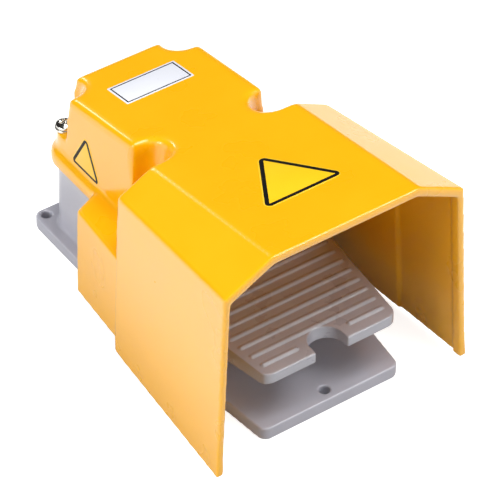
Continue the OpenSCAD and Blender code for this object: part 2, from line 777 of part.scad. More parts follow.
module grip_ribs() {
    intersection() {
        union() {
            for (i = [1 : rib_count]) {
                back = rib_pitch * i + rib_pitch;
                half = pedal_front_w / 2 + side_taper * back - rib_margin;
                grip_rib(-half, half, back);
            }
            both_sides() grip_rib(notch_r + 1.5 * rib_margin,
                                  pedal_front_w / 2 + side_taper * rib_pitch - rib_margin, rib_pitch);
        }
        translate([0, 0, 2 * rib_h]) pedal_profile(0, 3 * rib_h);
    }
}

// Arm that runs beside the housing to the pivot hub, on the right
module pedal_arm() {
    top = pedal_h - pedal_l * tan(pedal_tilt);
    root_y = pedal_rear_y - 3 * pedal_skirt_t;
    reach = hub_r * 0.96;
    translate([hub_x, 0, 0]) rotate([90, 0, 90]) {
        linear_extrude(arm_x - hub_x) polygon([
            [root_y, pedal_under_rear + 1.5], [pivot_y - hub_r / 5, pivot_h - reach],
            [pivot_y + hub_r / 5, pivot_h + reach], [root_y, top - 0.5]
        ]);
        translate([pivot_y, pivot_h, 0]) cylinder(hub_t, r = hub_r);
    }
}

module pedal() color(cast_grey) {
    seat_r = spring_d / 2 + 1;
    pin_r = spring_d / 2 - spring_wire - 0.6;
    pin_l = 1.5 * spring_wire;
    difference() {
        union() {
            difference() {
                intersection() {
                    translate([0, 0, 1]) linear_extrude(big) tapered_front(pedal_front_w,
                        pedal_front_y, pedal_rear_y, pedal_corner_r);
                    pedal_profile(0, 0);
                }
                // Hollow underside inside the skirts
                intersection() {
                    translate([0, 0, -1]) linear_extrude(big) difference() {
                        tapered_front(pedal_front_w, pedal_front_y, pedal_rear_y - pedal_skirt_t,
                                      pedal_corner_r / 3, pedal_skirt_t);
                        translate([0, pedal_front_y + notch_edge]) circle(notch_r + pedal_skirt_t);
                    }
                    translate([0, 0, -big / 2]) pedal_profile(-big / 2 + pedal_skin_t, big);
                }
            }
            grip_ribs();
            both_sides() pedal_arm();
            // Ribs under the skin
            intersection() {
                union() {
                    for (x = [-1, 1]) translate([
                        x * stiff_rib_x - stiff_rib_t / 2, pedal_front_y + notch_edge + notch_r, 0
                    ]) cube([stiff_rib_t, pedal_l - notch_edge - notch_r - 1, big]);
                }
                pedal_profile(pedal_skin_t - 1, pedal_skin_t + stiff_rib_h);
            }
            // Seat and pin for the return spring
            translate([0, spring_y, spring_top_z]) cylinder(pedal_under_z - spring_top_z + 2, r = seat_r);
            translate([0, spring_y, spring_top_z - pin_l]) cylinder(pin_l + 1, r = pin_r);
        }
        // Notch over the front mounting screw
        translate([0, pedal_front_y + notch_edge, 0]) cylinder(big, r = notch_r);
        translate([-notch_r, pedal_front_y - 2, 0]) cube([2 * notch_r, notch_edge + 2, big]);
        // Shaft bores and the tapped holes of their set screws
        translate([-big / 2, pivot_y, pivot_h]) rotate([0, 90, 0]) cylinder(big, r = shaft_r);
        both_sides() translate([hub_x + hub_t / 2, pivot_y, pivot_h]) cylinder(big, r = set_screw_d / 2);
    }
}

// ---------- Pivot ----------

module pivot_shaft() color(steel) {
    difference() {
        translate([-shaft_l / 2, pivot_y, pivot_h]) rotate([0, 90, 0]) cylinder(shaft_l, r = shaft_r);
        both_sides() translate([clip_x, pivot_y, pivot_h]) rotate([0, 90, 0])
            ring(clip_t, shaft_r + 1, shaft_r - clip_t);
    }
}

module bush() {
    translate([wall_x, pivot_y, pivot_h]) rotate([0, 90, 0]) difference() {
        union() {
            translate([0, 0, -bush_l]) cylinder(bush_l + eps, r = bush_r);
            cylinder(bush_flange_t, r = bush_r + flange_rim);
        }
        translate([0, 0, -bush_l - 1]) cylinder(bush_l + bush_flange_t + 2, r = shaft_r + shaft_clearance);
    }
}

module left_bush() color(brass) mirror([1, 0, 0]) bush();

module right_bush() color(brass) bush();

module shaft_clips() color(steel) {
    both_sides() translate([clip_x, pivot_y, pivot_h]) rotate([0, 90, 0]) difference() {
        ring(clip_t, shaft_r + flange_rim, shaft_r - clip_t);
        translate([0, -shaft_r * 0.6, -1]) cube([big, shaft_r * 1.2, clip_t + 2]);
    }
}

module hub_set_screws() color(steel) {
    both_sides() translate([hub_x + hub_t / 2, pivot_y, pivot_h + hub_r])
        set_screw(set_screw_d, hub_r - shaft_r);
}

// ---------- Return spring and stops ----------

// Height of the coil centre after a part u of the turns; both ends are close wound
function coil_z(u) =
    let (
        low = spring_seat_z + spring_wire / 2,
        high = spring_top_z - spring_wire / 2,
        end_turns = 1 / spring_turns,
        end_rise = spring_wire * 1.02,
        middle = (high - low - 2 * end_rise) / (1 - 2 * end_turns)
    )
    u < end_turns ? low + end_rise * u / end_turns
    : u > 1 - end_turns ? high - end_rise * (1 - u) / end_turns
    : low + end_rise + middle * (u - end_turns);

module return_spring() color(steel) {
    ring_n = 20 * spring_turns;
    side_n = 8;
    coil_r = (spring_d - spring_wire) / 2;
    points = [for (i = [0 : ring_n], j = [0 : side_n - 1])
        let (a = 360 * i / 20, b = 360 * j / side_n, r = coil_r + spring_wire / 2 * cos(b))
        [r * cos(a), spring_y + r * sin(a), coil_z(i / ring_n) + spring_wire / 2 * sin(b)]];
    sides = [for (i = [0 : ring_n - 1], j = [0 : side_n - 1])
        let (k = (j + 1) % side_n)
        [i * side_n + j, i * side_n + k, (i + 1) * side_n + k, (i + 1) * side_n + j]];
    ends = [[for (j = [side_n - 1 : -1 : 0]) j], [for (j = [0 : side_n - 1]) ring_n * side_n + j]];
    polyhedron(points, concat(sides, ends));
}

// Rubber buffer with a stem that is pressed into a post
module buffer(z) {
    translate([0, 0, z]) cylinder(stop_t, r = stop_r - 0.5);
    translate([0, 0, z - stem_l]) cylinder(stem_l + eps, r = stem_d / 2);
}

module stop_buffers() color(black_rubber) {
    both_sides() translate([stop_x, spring_y, 0]) buffer(stop_post_z);
}

module rest_buffer() color(black_rubber) {
    translate([0, rest_y, 0]) buffer(rest_post_z);
}

// ---------- Striker ----------

module striker() color(steel) {
    half = switch_x + arm_w / 2;
    translate([0, pivot_y, pivot_h]) difference() {
        union() {
            translate([-half, 0, 0]) rotate([0, 90, 0]) cylinder(2 * half, r = hub_r);
            for (x = [-1, 1]) translate([x * switch_x - arm_w / 2, 0, arm_z0 - pivot_h])
                cube([arm_w, striker_arm + adjust_d + 1, arm_t]);
            translate([-half, hub_r * 0.8, arm_z0 - pivot_h]) cube([2 * half, arm_w * 1.6, arm_t * 0.75]);
        }
        translate([-big / 2, 0, 0]) rotate([0, 90, 0]) cylinder(big, r = shaft_r);
        for (x = [-1, 1]) {
            translate([x * switch_x, striker_arm, -big / 2]) cylinder(big, r = adjust_d / 2);
            translate([x * set_screw_d, 0, 0]) cylinder(big, r = set_screw_d / 2);
        }
    }
}

module striker_set_screws() color(steel) {
    for (x = [-set_screw_d, set_screw_d]) translate([x, pivot_y, pivot_h + hub_r])
        set_screw(set_screw_d, hub_r - shaft_r);
}

module adjusting_screws() color(steel) {
    r = adjust_d / 2;
    low = arm_z0 - adjust_d - 1;
    for (x = [-1, 1]) translate([x * switch_x, striker_y, 0]) difference() {
        union() {
            translate([0, 0, low]) cylinder(striker_tip_z - low - r, r = r);
            translate([0, 0, striker_tip_z - r]) sphere(r);
        }
        translate([-r, -0.1 * adjust_d, low - 1]) cube([2 * r, 0.2 * adjust_d, 0.3 * adjust_d + 1]);
    }
}

module lock_nuts() color(steel) {
    for (x = [-1, 1]) translate([x * switch_x, striker_y, arm_z0 + arm_t])
        hex_nut(adjust_d);
}

// ---------- Switches ----------

module switch_bracket() color(steel) {
    low = bracket_foot_z;
    difference() {
        union() {
            translate([-bracket_t / 2, switch_front_y + bracket_t, switch_z + 1])
                cube([bracket_t, switch_l - bracket_t - 1, switch_h - bracket_t]);
            translate([-bracket_t / 2, bracket_foot_y - bracket_leg_w / 2, low])
                cube([bracket_t, bracket_leg_w, switch_z + bracket_t - low]);
            translate([-bracket_foot_w / 2, bracket_foot_y - bracket_foot_l / 2, low])
                cube([bracket_foot_w, bracket_foot_l, bracket_t]);
        }
        for (x = [-1, 1]) translate([x * bracket_foot_x, bracket_foot_y, low - 1])
            cylinder(bracket_t + 2, r = small_screw_d / 2 + 0.15);
        at_fixing_holes() cylinder(big, r = fixing_d / 2 + 0.05, center = true);
    }
}

// Places a child, turned along X, at both fixing holes of the switches
module at_fixing_holes(x = 0) {
    for (y = [-1, 1]) translate([x, switch_mid_y + y * switch_hole_pitch / 2, fixing_z])
        rotate([0, 90, 0]) children();
}

module bracket_screws() color(steel) {
    for (x = [-1, 1]) translate([x * bracket_foot_x, bracket_foot_y, bracket_foot_z + bracket_t])
        pan_screw(small_screw_d, bracket_t + bracket_pad_h + 0.5);
}

module switch_fixing_screws() color(steel) {
    out = bracket_t / 2 + switch_t;
    at_fixing_holes(out) pan_screw(fixing_d, 2 * out + nut_h(fixing_d) + 1);
}

module switch_fixing_nuts() color(steel) {
    at_fixing_holes(-bracket_t / 2 - switch_t - nut_h(fixing_d)) hex_nut(fixing_d);
}

// Case of the right switch: a tray with pillars round its fixing holes and lugs for the lever pin
module switch_case() {
    x0 = bracket_t / 2;
    floor_t = 2 * case_wall;
    guide_w = plunger_d + case_wall;
    lug_x = lever_w / 2 + gap;
    difference() {
        union() {
            difference() {
                translate([x0, switch_front_y, switch_z]) cube([switch_t, switch_l, case_h]);
                translate([x0 + case_wall, switch_front_y + case_wall, switch_z + floor_t])
                    cube([switch_t - 2 * case_wall, switch_l - 2 * case_wall, big]);
            }
            for (y = [-1, 1]) translate([x0, switch_mid_y + y * switch_hole_pitch / 2, fixing_z])
                rotate([0, 90, 0]) cylinder(switch_t, r = fixing_d / 2 + 0.8 * case_wall);
            translate([switch_x - guide_w / 2, plunger_y - guide_w / 2, switch_z + 1])
                cube([guide_w, guide_w, 2 * floor_t]);
            for (x = [switch_x - lug_x - lug_t, switch_x + lug_x])
                translate([x, lever_pin_y - lug_r, lever_pin_z - lug_r])
                    cube([lug_t, 2 * lug_r, switch_z + 1 - lever_pin_z + lug_r]);
        }
        at_fixing_holes() cylinder(big, r = fixing_d / 2 + 0.1, center = true);
        translate([switch_x, plunger_y, switch_z - 1])
            cylinder(plunger_reach + floor_t, r = plunger_d / 2 + 0.05);
        translate([-big / 2, lever_pin_y, lever_pin_z]) rotate([0, 90, 0])
            cylinder(big, r = lever_pin_d / 2);
    }
}

module right_switch_case() color(phenolic) switch_case();

module left_switch_case() color(phenolic) mirror([1, 0, 0]) switch_case();

// Lid of the right switch, with three raised terminal seats
module switch_cover() {
    x0 = bracket_t / 2;
    seat_h = case_wall;
    seat_l = terminal_w + case_wall;
    difference() {
        union() {
            translate([x0, switch_front_y, cover_seam_z])
                cube([switch_t, switch_l, switch_top_z - cover_seam_z - seat_h]);
            for (y = terminal_ys) translate([x0 + seat_h / 2, y - seat_l / 2, switch_top_z - seat_h - 1])
                cube([switch_t - seat_h, seat_l, seat_h + 1]);
        }
        for (y = terminal_ys) translate([switch_x, y, switch_top_z - terminal_screw_l - 1])
            cylinder(big, r = terminal_screw_d / 2);
    }
}

module right_switch_cover() color(black_rubber) switch_cover();

module left_switch_cover() color(black_rubber) mirror([1, 0, 0]) switch_cover();

// Leaf lever of the right switch with an eye for its pin
module switch_lever() {
    leaf_l = lever_arm + adjust_d;
    translate([switch_x - lever_w / 2, lever_pin_y, lever_pin_z]) rotate([lever_rest, 0, 0]) difference() {
        union() {
            rotate([0, 90, 0]) cylinder(lever_w, r = 0.75 * lever_pin_d);
            mirror([0, 1, 0]) translate([0, 0, -lever_t / 2]) cube([lever_w, leaf_l, lever_t]);
        }
        translate([-1, 0, 0]) rotate([0, 90, 0]) cylinder(lever_w + 2, r = lever_pin_d / 2 + 0.05);
    }
}

module right_switch_lever() color(steel) switch_lever();

module left_switch_lever() color(steel) mirror([1, 0, 0]) switch_lever();

module lever_pin() {
    half = lever_w / 2 + gap + lug_t;
    translate([switch_x - half, lever_pin_y, lever_pin_z]) rotate([0, 90, 0])
        cylinder(2 * half, r = lever_pin_d / 2);
}

module right_lever_pin() color(steel) lever_pin();

module left_lever_pin() color(steel) mirror([1, 0, 0]) lever_pin();

module switch_plunger() {
    lever_top = lever_pin_z - (plunger_arm - plunger_d / 2) * tan(lever_rest) + lever_t / 2 / cos(lever_rest);
    translate([switch_x, plunger_y, lever_top + gap])
        cylinder(switch_z + plunger_reach - lever_top - gap, r = plunger_d / 2);
}

module right_switch_plunger() color("white") switch_plunger();

module left_switch_plunger() color("white") mirror([1, 0, 0]) switch_plunger();

module terminals() {
    for (y = terminal_ys) translate([switch_x, y, switch_top_z]) difference() {
        translate([-terminal_w / 2, -terminal_w / 2, 0]) cube([terminal_l, terminal_w, terminal_t]);
        translate([0, 0, -1]) cylinder(terminal_t + 2, r = terminal_screw_d / 2 + 0.2);
    }
}

module right_terminals() color(brass) terminals();

module left_terminals() color(brass) mirror([1, 0, 0]) terminals();

module terminal_screws() color(steel) {
    both_sides() for (y = terminal_ys) translate([switch_x, y, switch_top_z + terminal_t])
        pan_screw(terminal_screw_d, terminal_screw_l);
}

module earth_screw() color(steel) {
    translate([earth_x, earth_y, earth_z + terminal_t])
        pan_screw(small_screw_d, earth_z - plate_t + terminal_t);
}

module earth_washer() color(brass) {
    translate([earth_x, earth_y, earth_z]) ring(terminal_t, 0.96 * pad_r, small_screw_d / 2 + 0.15);
}

// ---------- Cable gland ----------

// Turns a child so that its Z points out of the rear wall, at the gland
module at_gland() {
    translate([0, housing_rear_y, gland_h]) rotate([-90, 0, 0]) children();
}

module gland_washer() color(black_rubber) {
    at_gland() ring(gland_washer_t, gland_flats / 2, gland_thread_d / 2);
}

module gland_body() color(black_rubber) {
    neck_end = gland_l - gland_cap_t - 1;
    at_gland() difference() {
        union() {
            translate([0, 0, -gland_grip]) cylinder(gland_grip + gland_washer_t + eps, r = gland_thread_d / 2);
            translate([0, 0, gland_washer_t]) cylinder(gland_hex_t, r = gland_flats / 2 / cos(30), $fn = 6);
            translate([0, 0, gland_washer_t]) cylinder(neck_end - gland_washer_t, r = gland_seal_r + gland_wall);
        }
        translate([0, 0, -gland_grip - 1]) cylinder(big, r = gland_bore_d / 2 + 1);
        translate([0, 0, gland_washer_t + 2]) cylinder(big, r = gland_seal_r);
    }
}

module gland_seal() color(black_rubber) {
    at_gland() translate([0, 0, gland_l - gland_cap_t - gland_seal_l])
        ring(gland_seal_l, gland_seal_r, gland_bore_d / 2);
}

module gland_nut() color(black_rubber) {
    length = gland_l - gland_nut_y;
    at_gland() translate([0, 0, gland_nut_y]) difference() {
        intersection() {
            union() {
                cylinder(length * 0.65, r = gland_flats / 2 / cos(30), $fn = 6);
                cylinder(length, r = gland_flats / 2 - 1);
            }
            cylinder(length + 8, gland_flats / 2 + 4, gland_flats / 2 - 6);
        }
        translate([0, 0, -1]) cylinder(length - gland_cap_t + 1, r = gland_seal_r + gland_wall);
        translate([0, 0, -1]) cylinder(big, r = gland_bore_d / 2 + 1);
    }
}

base_casting();
guard_cover();
cover_gasket();
cover_screws();
cover_washers();
pedal();
pivot_shaft();
left_bush();
right_bush();
shaft_clips();
hub_set_screws();
return_spring();
stop_buffers();
rest_buffer();
striker();
striker_set_screws();
adjusting_screws();
lock_nuts();
switch_bracket();
bracket_screws();
switch_fixing_screws();
switch_fixing_nuts();
left_switch_case();
right_switch_case();
left_switch_cover();
right_switch_cover();
left_switch_lever();
right_switch_lever();
left_lever_pin();
right_lever_pin();
left_switch_plunger();
right_switch_plunger();
left_terminals();
right_terminals();
terminal_screws();
earth_screw();
earth_washer();
gland_washer();
gland_body();
gland_seal();
gland_nut();
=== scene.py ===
"""Dresses a guarded industrial foot switch: powder-coated guard, cast base, ribbed pedal."""

import logging
import math
from dataclasses import dataclass
from enum import Enum
from typing import Protocol, Sequence

import bmesh
import bpy
import numpy as np
from mathutils import Matrix, Vector


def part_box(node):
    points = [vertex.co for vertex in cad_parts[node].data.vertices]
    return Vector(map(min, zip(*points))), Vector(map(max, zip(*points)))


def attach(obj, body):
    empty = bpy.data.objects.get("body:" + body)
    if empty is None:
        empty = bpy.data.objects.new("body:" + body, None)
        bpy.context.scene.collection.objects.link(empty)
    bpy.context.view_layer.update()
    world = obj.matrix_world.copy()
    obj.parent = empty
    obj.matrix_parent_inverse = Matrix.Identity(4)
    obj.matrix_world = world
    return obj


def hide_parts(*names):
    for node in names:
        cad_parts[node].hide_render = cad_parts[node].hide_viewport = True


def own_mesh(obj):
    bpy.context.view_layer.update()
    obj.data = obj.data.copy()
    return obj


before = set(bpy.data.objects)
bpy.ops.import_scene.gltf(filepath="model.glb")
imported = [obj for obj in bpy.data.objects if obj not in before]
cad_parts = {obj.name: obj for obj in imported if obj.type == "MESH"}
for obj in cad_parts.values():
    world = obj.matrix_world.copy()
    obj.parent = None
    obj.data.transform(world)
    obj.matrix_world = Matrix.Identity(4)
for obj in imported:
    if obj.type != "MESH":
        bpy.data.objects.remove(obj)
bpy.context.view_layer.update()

LOG = logging.getLogger("foot_switch")
MM = 0.001
ROOT = "root"
PEDAL_BODY = "pedal_assembly"

Array = np.ndarray
Colour = tuple[float, float, float, float]
Place = tuple[float, float, float]
Socket = bpy.types.NodeSocket

WHITE: Colour = (1.0, 1.0, 1.0, 1.0)
# Points of a CAD node that are closer than this are one point.
MERGE_DISTANCE = 0.002 * MM
# Noise values between which a patch goes from its darkest to its palest.
PATCH_RANGE = (0.2, 0.8)
# Stretch of the noise across a lathe's axis, which draws it out into bands.
TURNED_STRETCH = 0.04
# Sockets of the Mix node when it mixes colours: both colours going in, and the one coming out.
MIX_FIRST, MIX_SECOND, MIX_RESULT = 6, 7, 2


# ---------------------------------------------------------------- colour and nodes


def linear(hex_colour: str) -> Colour:
    """Turns an sRGB hex colour into linear light.

    Args:
        hex_colour: Six hex digits after a hash sign.

    Returns:
        Red, green, blue and an alpha of one.
    """
    parts = [int(hex_colour[i:i + 2], 16) / 255 for i in (1, 3, 5)]
    channels = [c / 12.92 if c <= 0.04045 else ((c + 0.055) / 1.055) ** 2.4 for c in parts]
    return (channels[0], channels[1], channels[2], 1.0)


def add(
    tree: bpy.types.NodeTree,
    kind: str,
    settings: dict[str, object] | None = None,
    values: dict[str | int, object] | None = None,
    links: dict[str | int, Socket] | None = None,
) -> bpy.types.Node:
    """Adds one node with its settings, socket values and incoming links.

    Args:
        tree: The node tree that gets the node.
        kind: Name of the node type.
        settings: Attributes of the node itself.
        values: Fixed values by the name or the number of the input.
        links: Output sockets by the name or the number of the input that they feed.

    Returns:
        The new node.
    """
    node = tree.nodes.new(kind)
    for name, value in (settings or {}).items():
        setattr(node, name, value)
    for key, value in (values or {}).items():
        node.inputs[key].default_value = value
    for key, socket in (links or {}).items():
        tree.links.new(socket, node.inputs[key])
    return node


def per_metre(size_mm: float) -> float:
    """Returns the texture scale that gives cells of size_mm on Object coordinates."""
    return 1 / (size_mm * MM)


class Relief(Enum):
    """How the making marks a surface."""

    PEEL = "peel"
    TURNED = "turned"
    SPECKLE = "speckle"

    @property
    def octaves(self) -> float:
        """Returns how many finer layers the relief's noise has."""
        return {Relief.PEEL: 1.0, Relief.TURNED: 0.0, Relief.SPECKLE: 4.0}[self]


@dataclass(frozen=True)
class Finish:
    """One real finish, from its colour to the relief of its surface.

    The colour and the gloss drift a little over broad patches, as sprayed, cast and rolled
    surfaces do, and the bump stands for the texture that the making leaves.
    """

    name: str
    colour: str
    roughness: float
    relief_mm: float
    relief_depth_mm: float
    drift: float
    drift_mm: float
    relief: Relief = Relief.SPECKLE
    metallic: float = 0.0
    ior: float = 1.5
    specular: float = 0.5
    coat: float = 0.0
    coat_roughness: float = 0.08
    gloss_drift: float = 0.12

    def material(self) -> bpy.types.Material:
        """Builds the procedural material of this finish, once.

        Returns:
            The material, shared by all pieces that carry the finish.
        """
        known = bpy.data.materials.get(self.name)
        if known:
            return known
        made = bpy.data.materials.new(self.name)
        made.use_nodes = True
        tree = made.node_tree
        tree.nodes.clear()
        place = add(tree, "ShaderNodeTexCoord").outputs["Object"]
        patches = add(tree, "ShaderNodeTexNoise", {"noise_dimensions": "3D"},
                      {"Scale": per_metre(self.drift_mm), "Detail": 3.0, "Roughness": 0.55},
                      {"Vector": place}).outputs["Fac"]
        shade, roughness = (
            add(tree, "ShaderNodeMapRange", {"interpolation_type": "SMOOTHSTEP"}, {
                "From Min": PATCH_RANGE[0], "From Max": PATCH_RANGE[1],
                "To Min": middle * (1 - swing), "To Max": middle * (1 + swing),
            }, {"Value": patches}).outputs["Result"]
            for middle, swing in ((1.0, self.drift), (self.roughness, self.gloss_drift)))
        tint = add(tree, "ShaderNodeMix", {"data_type": "RGBA", "blend_type": "MULTIPLY"},
                   {"Factor": 1.0, MIX_FIRST: linear(self.colour)}, {MIX_SECOND: shade})
        shader = add(tree, "ShaderNodeBsdfPrincipled", None, {
            "Metallic": self.metallic, "Coat Weight": self.coat,
            "Coat Roughness": self.coat_roughness, "Specular IOR Level": self.specular,
        }, {"Base Color": tint.outputs[MIX_RESULT], "Roughness": roughness})
        if not self.metallic:
            shader.inputs["IOR"].default_value = self.ior
        self._add_relief(tree, place, shader)
        add(tree, "ShaderNodeOutputMaterial", None, None, {"Surface": shader.outputs["BSDF"]})
        return made

    def _add_relief(self, tree: bpy.types.NodeTree, place: Socket, shader: bpy.types.Node) -> None:
        """Adds the bump that suits how the surface was made.

        Turned metal has bands: its noise is stretched across the lathe's axis.

        Args:
            tree: The material's node tree.
            place: Object coordinates.
            shader: The shader that the bump turns.
        """
        if self.relief is Relief.TURNED:
            place = add(tree, "ShaderNodeMapping", None,
                        {"Scale": (TURNED_STRETCH, TURNED_STRETCH, 1.0)},
                        {"Vector": place}).outputs["Vector"]
        grain = add(tree, "ShaderNodeTexNoise", {"noise_dimensions": "3D"},
                    {"Scale": per_metre(self.relief_mm), "Detail": self.relief.octaves, "Roughness": 0.5},
                    {"Vector": place})
        bump = add(tree, "ShaderNodeBump", None,
                   {"Strength": 1.0, "Distance": self.relief_depth_mm * MM},
                   {"Height": grain.outputs["Fac"]})
        tree.links.new(bump.outputs["Normal"], shader.inputs["Normal"])
        if self.coat > 0:
            tree.links.new(bump.outputs["Normal"], shader.inputs["Coat Normal"])


# Powder coat on cast aluminium: deep yellow under a clear gloss, with the soft orange peel of a
# coat that flowed out in the oven.
YELLOW_COAT = Finish("yellow_powder_coat", "#f8b300", 0.29, relief_mm=1.6, relief_depth_mm=0.012,
                     drift=0.03, drift_mm=45, relief=Relief.PEEL, coat=0.6, coat_roughness=0.11)
# Stoved grey enamel on cast aluminium: satin, with a finer and flatter peel.
GREY_ENAMEL = Finish("grey_casting_enamel", "#b6b6c1", 0.31, relief_mm=0.9, relief_depth_mm=0.014,
                     drift=0.05, drift_mm=22, relief=Relief.PEEL, coat=0.5, coat_roughness=0.09)
# The pedal's enamel: the same grey painted one shade darker, as painted shade for the shade that falls on the
# pedal under the guard's roof.
PEDAL_SHADED_ENAMEL = Finish("pedal_enamel_painted_shade", "#a1a1aa", 0.29, relief_mm=0.9, relief_depth_mm=0.014,
                      drift=0.05, drift_mm=22, relief=Relief.PEEL, coat=0.6)
# Nickel-plated screw steel: bright, with faint turning marks.
NICKEL = Finish("nickel_plated_steel", "#d8d6d0", 0.18, relief_mm=0.25, relief_depth_mm=0.002,
                drift=0.05, drift_mm=3, relief=Relief.TURNED, metallic=1.0)
# Drawn spring steel: darker, oiled.
SPRING_STEEL = Finish("drawn_spring_steel", "#a4a4a2", 0.30, relief_mm=0.4, relief_depth_mm=0.003,
                      drift=0.06, drift_mm=4, metallic=1.0)
# Zinc-plated pressed steel: pale, slightly cloudy.
ZINC_STEEL = Finish("zinc_plated_steel", "#c3c3bb", 0.36, relief_mm=0.7, relief_depth_mm=0.004,
                    drift=0.10, drift_mm=5, metallic=1.0)
# Sintered bronze: warm and matt, with open pores.
BRONZE = Finish("sintered_bronze", "#a9793f", 0.48, relief_mm=0.35, relief_depth_mm=0.012,
                drift=0.12, drift_mm=2, metallic=1.0)
# Stamped brass strip: yellow and softly bright.
BRASS = Finish("stamped_brass", "#d8b060", 0.28, relief_mm=0.5, relief_depth_mm=0.003,
               drift=0.06, drift_mm=4, metallic=1.0)
# Moulded nitrile rubber: black, matt and faintly dusty.
BLACK_RUBBER = Finish("moulded_nitrile_rubber", "#1b1b1d", 0.72, relief_mm=0.5, relief_depth_mm=0.010,
                      drift=0.15, drift_mm=6, specular=0.35)
# Moulded nylon: black with a fine spark-eroded grain.
BLACK_NYLON = Finish("moulded_black_nylon", "#1e1f22", 0.46, relief_mm=0.30, relief_depth_mm=0.012,
                     drift=0.10, drift_mm=8)
# Phenolic moulding: dark brown with visible wood-flour flecks.
PHENOLIC = Finish("brown_phenolic_moulding", "#4b2d1c", 0.34, relief_mm=0.6, relief_depth_mm=0.005,
                  drift=0.18, drift_mm=1.5)
# Moulded acetal: milky white and waxy.
WHITE_ACETAL = Finish("moulded_white_acetal", "#e6e5df", 0.32, relief_mm=0.8, relief_depth_mm=0.003,
                      drift=0.03, drift_mm=4)
# White vinyl film of the rating plate: a soft gloss over an even white.
WHITE_VINYL = Finish("white_vinyl_film", "#e2e4ec", 0.30, relief_mm=2.5, relief_depth_mm=0.004,
                     drift=0.015, drift_mm=15, relief=Relief.PEEL, coat=0.2)
# Signal-yellow vinyl film of the signs: a soft gloss, paler and greener than the coat around it.
YELLOW_VINYL = Finish("signal_yellow_vinyl_film", "#f9c618", 0.30, relief_mm=2.5, relief_depth_mm=0.004,
                      drift=0.02, drift_mm=15, relief=Relief.PEEL, coat=0.2)
# Screen-printed ink: black with a slight silk.
BLACK_INK = Finish("screen_printed_black_ink", "#0b0a09", 0.5, relief_mm=0.4, relief_depth_mm=0.003,
                   drift=0.10, drift_mm=3, specular=0.25)

NODE_FINISHES: dict[Finish, tuple[str, ...]] = {
    YELLOW_COAT: ("guard_cover",),
    GREY_ENAMEL: ("base_casting",),
    PEDAL_SHADED_ENAMEL: ("pedal",),
    NICKEL: (
        "cover_screws", "cover_washers", "pivot_shaft", "shaft_clips", "hub_set_screws",
        "striker_set_screws", "adjusting_screws", "lock_nuts", "bracket_screws",
        "switch_fixing_screws", "switch_fixing_nuts", "left_lever_pin", "right_lever_pin",
        "terminal_screws", "earth_screw",
    ),
    SPRING_STEEL: ("return_spring", "left_switch_lever", "right_switch_lever"),
    ZINC_STEEL: ("striker", "switch_bracket"),
    BRONZE: ("left_bush", "right_bush"),
    BRASS: ("left_terminals", "right_terminals", "earth_washer"),
    PHENOLIC: ("left_switch_case", "right_switch_case"),
    BLACK_NYLON: ("left_switch_cover", "right_switch_cover", "gland_body", "gland_nut"),
    BLACK_RUBBER: ("cover_gasket", "stop_buffers", "rest_buffer", "gland_washer", "gland_seal"),
    WHITE_ACETAL: ("left_switch_plunger", "right_switch_plunger"),
}


def finish_of(node: str) -> Finish:
    """Returns the finish that a CAD node carries."""
    return next(finish for finish, names in NODE_FINISHES.items() if node in names)


def dress_nodes() -> None:
    """Gives every CAD node the material of its finish."""
    for name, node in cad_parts.items():
        node.data.materials.clear()
        node.data.materials.append(finish_of(name).material())


# ---------------------------------------------------------------- meshes


def in_scene(name: str, data: bpy.types.ID) -> bpy.types.Object:
    """Puts an object into the scene, at the origin and unturned.

    Args:
        name: Name of the object.
        data: Its mesh, lamp or camera.

    Returns:
        The object.
    """
    made = bpy.data.objects.new(name, data)
    bpy.context.scene.collection.objects.link(made)
    return made


def report(piece: bpy.types.Object) -> None:
    """Logs the name of a finished piece and the number of its faces."""
    LOG.info("%s: %d faces", piece.name, len(piece.data.polygons))


def put(name: str, points: Array, faces: Sequence[Sequence[int]], finish: Finish) -> bpy.types.Object:
    """Puts a smooth mesh into the scene.

    Args:
        name: Name of the piece.
        points: Places of its corners, in metres.
        faces: Corner numbers of each face.
        finish: Finish of the piece.

    Returns:
        The object, at the origin and unturned.
    """
    mesh = bpy.data.meshes.new(name)
    mesh.from_pydata(points.reshape(-1, 3).tolist(), [], faces)
    mesh.polygons.foreach_set("use_smooth", [True] * len(mesh.polygons))
    mesh.validate()
    mesh.update()
    mesh.materials.append(finish.material())
    made = in_scene(name, mesh)
    report(made)
    return made


def unit(rows: Array) -> Array:
    """Returns every row scaled to a length of one."""
    return rows / np.linalg.norm(rows, axis=1, keepdims=True)


def read_points(mesh: bpy.types.Mesh) -> Array:
    """Reads the points of a mesh.

    Args:
        mesh: The mesh.

    Returns:
        Places of its points, one row each.
    """
    points = np.empty(len(mesh.vertices) * 3)
    mesh.vertices.foreach_get("co", points)
    return points.reshape(-1, 3)


def write_points(mesh: bpy.types.Mesh, points: Array) -> None:
    """Moves a mesh's points to new places, one row each."""
    mesh.vertices.foreach_set("co", points.ravel())
    mesh.update()


def merged_mesh(node: str, name: str) -> bpy.types.Mesh:
    """Copies the mesh of a CAD node and merges its double points.

    Args:
        node: Name of the CAD node.
        name: Name of the new mesh.

    Returns:
        The closed mesh, with no material.
    """
    work = bmesh.new()
    work.from_mesh(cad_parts[node].data)
    bmesh.ops.remove_doubles(work, verts=work.verts, dist=MERGE_DISTANCE)
    mesh = bpy.data.meshes.new(name)
    work.to_mesh(mesh)
    work.free()
    return mesh


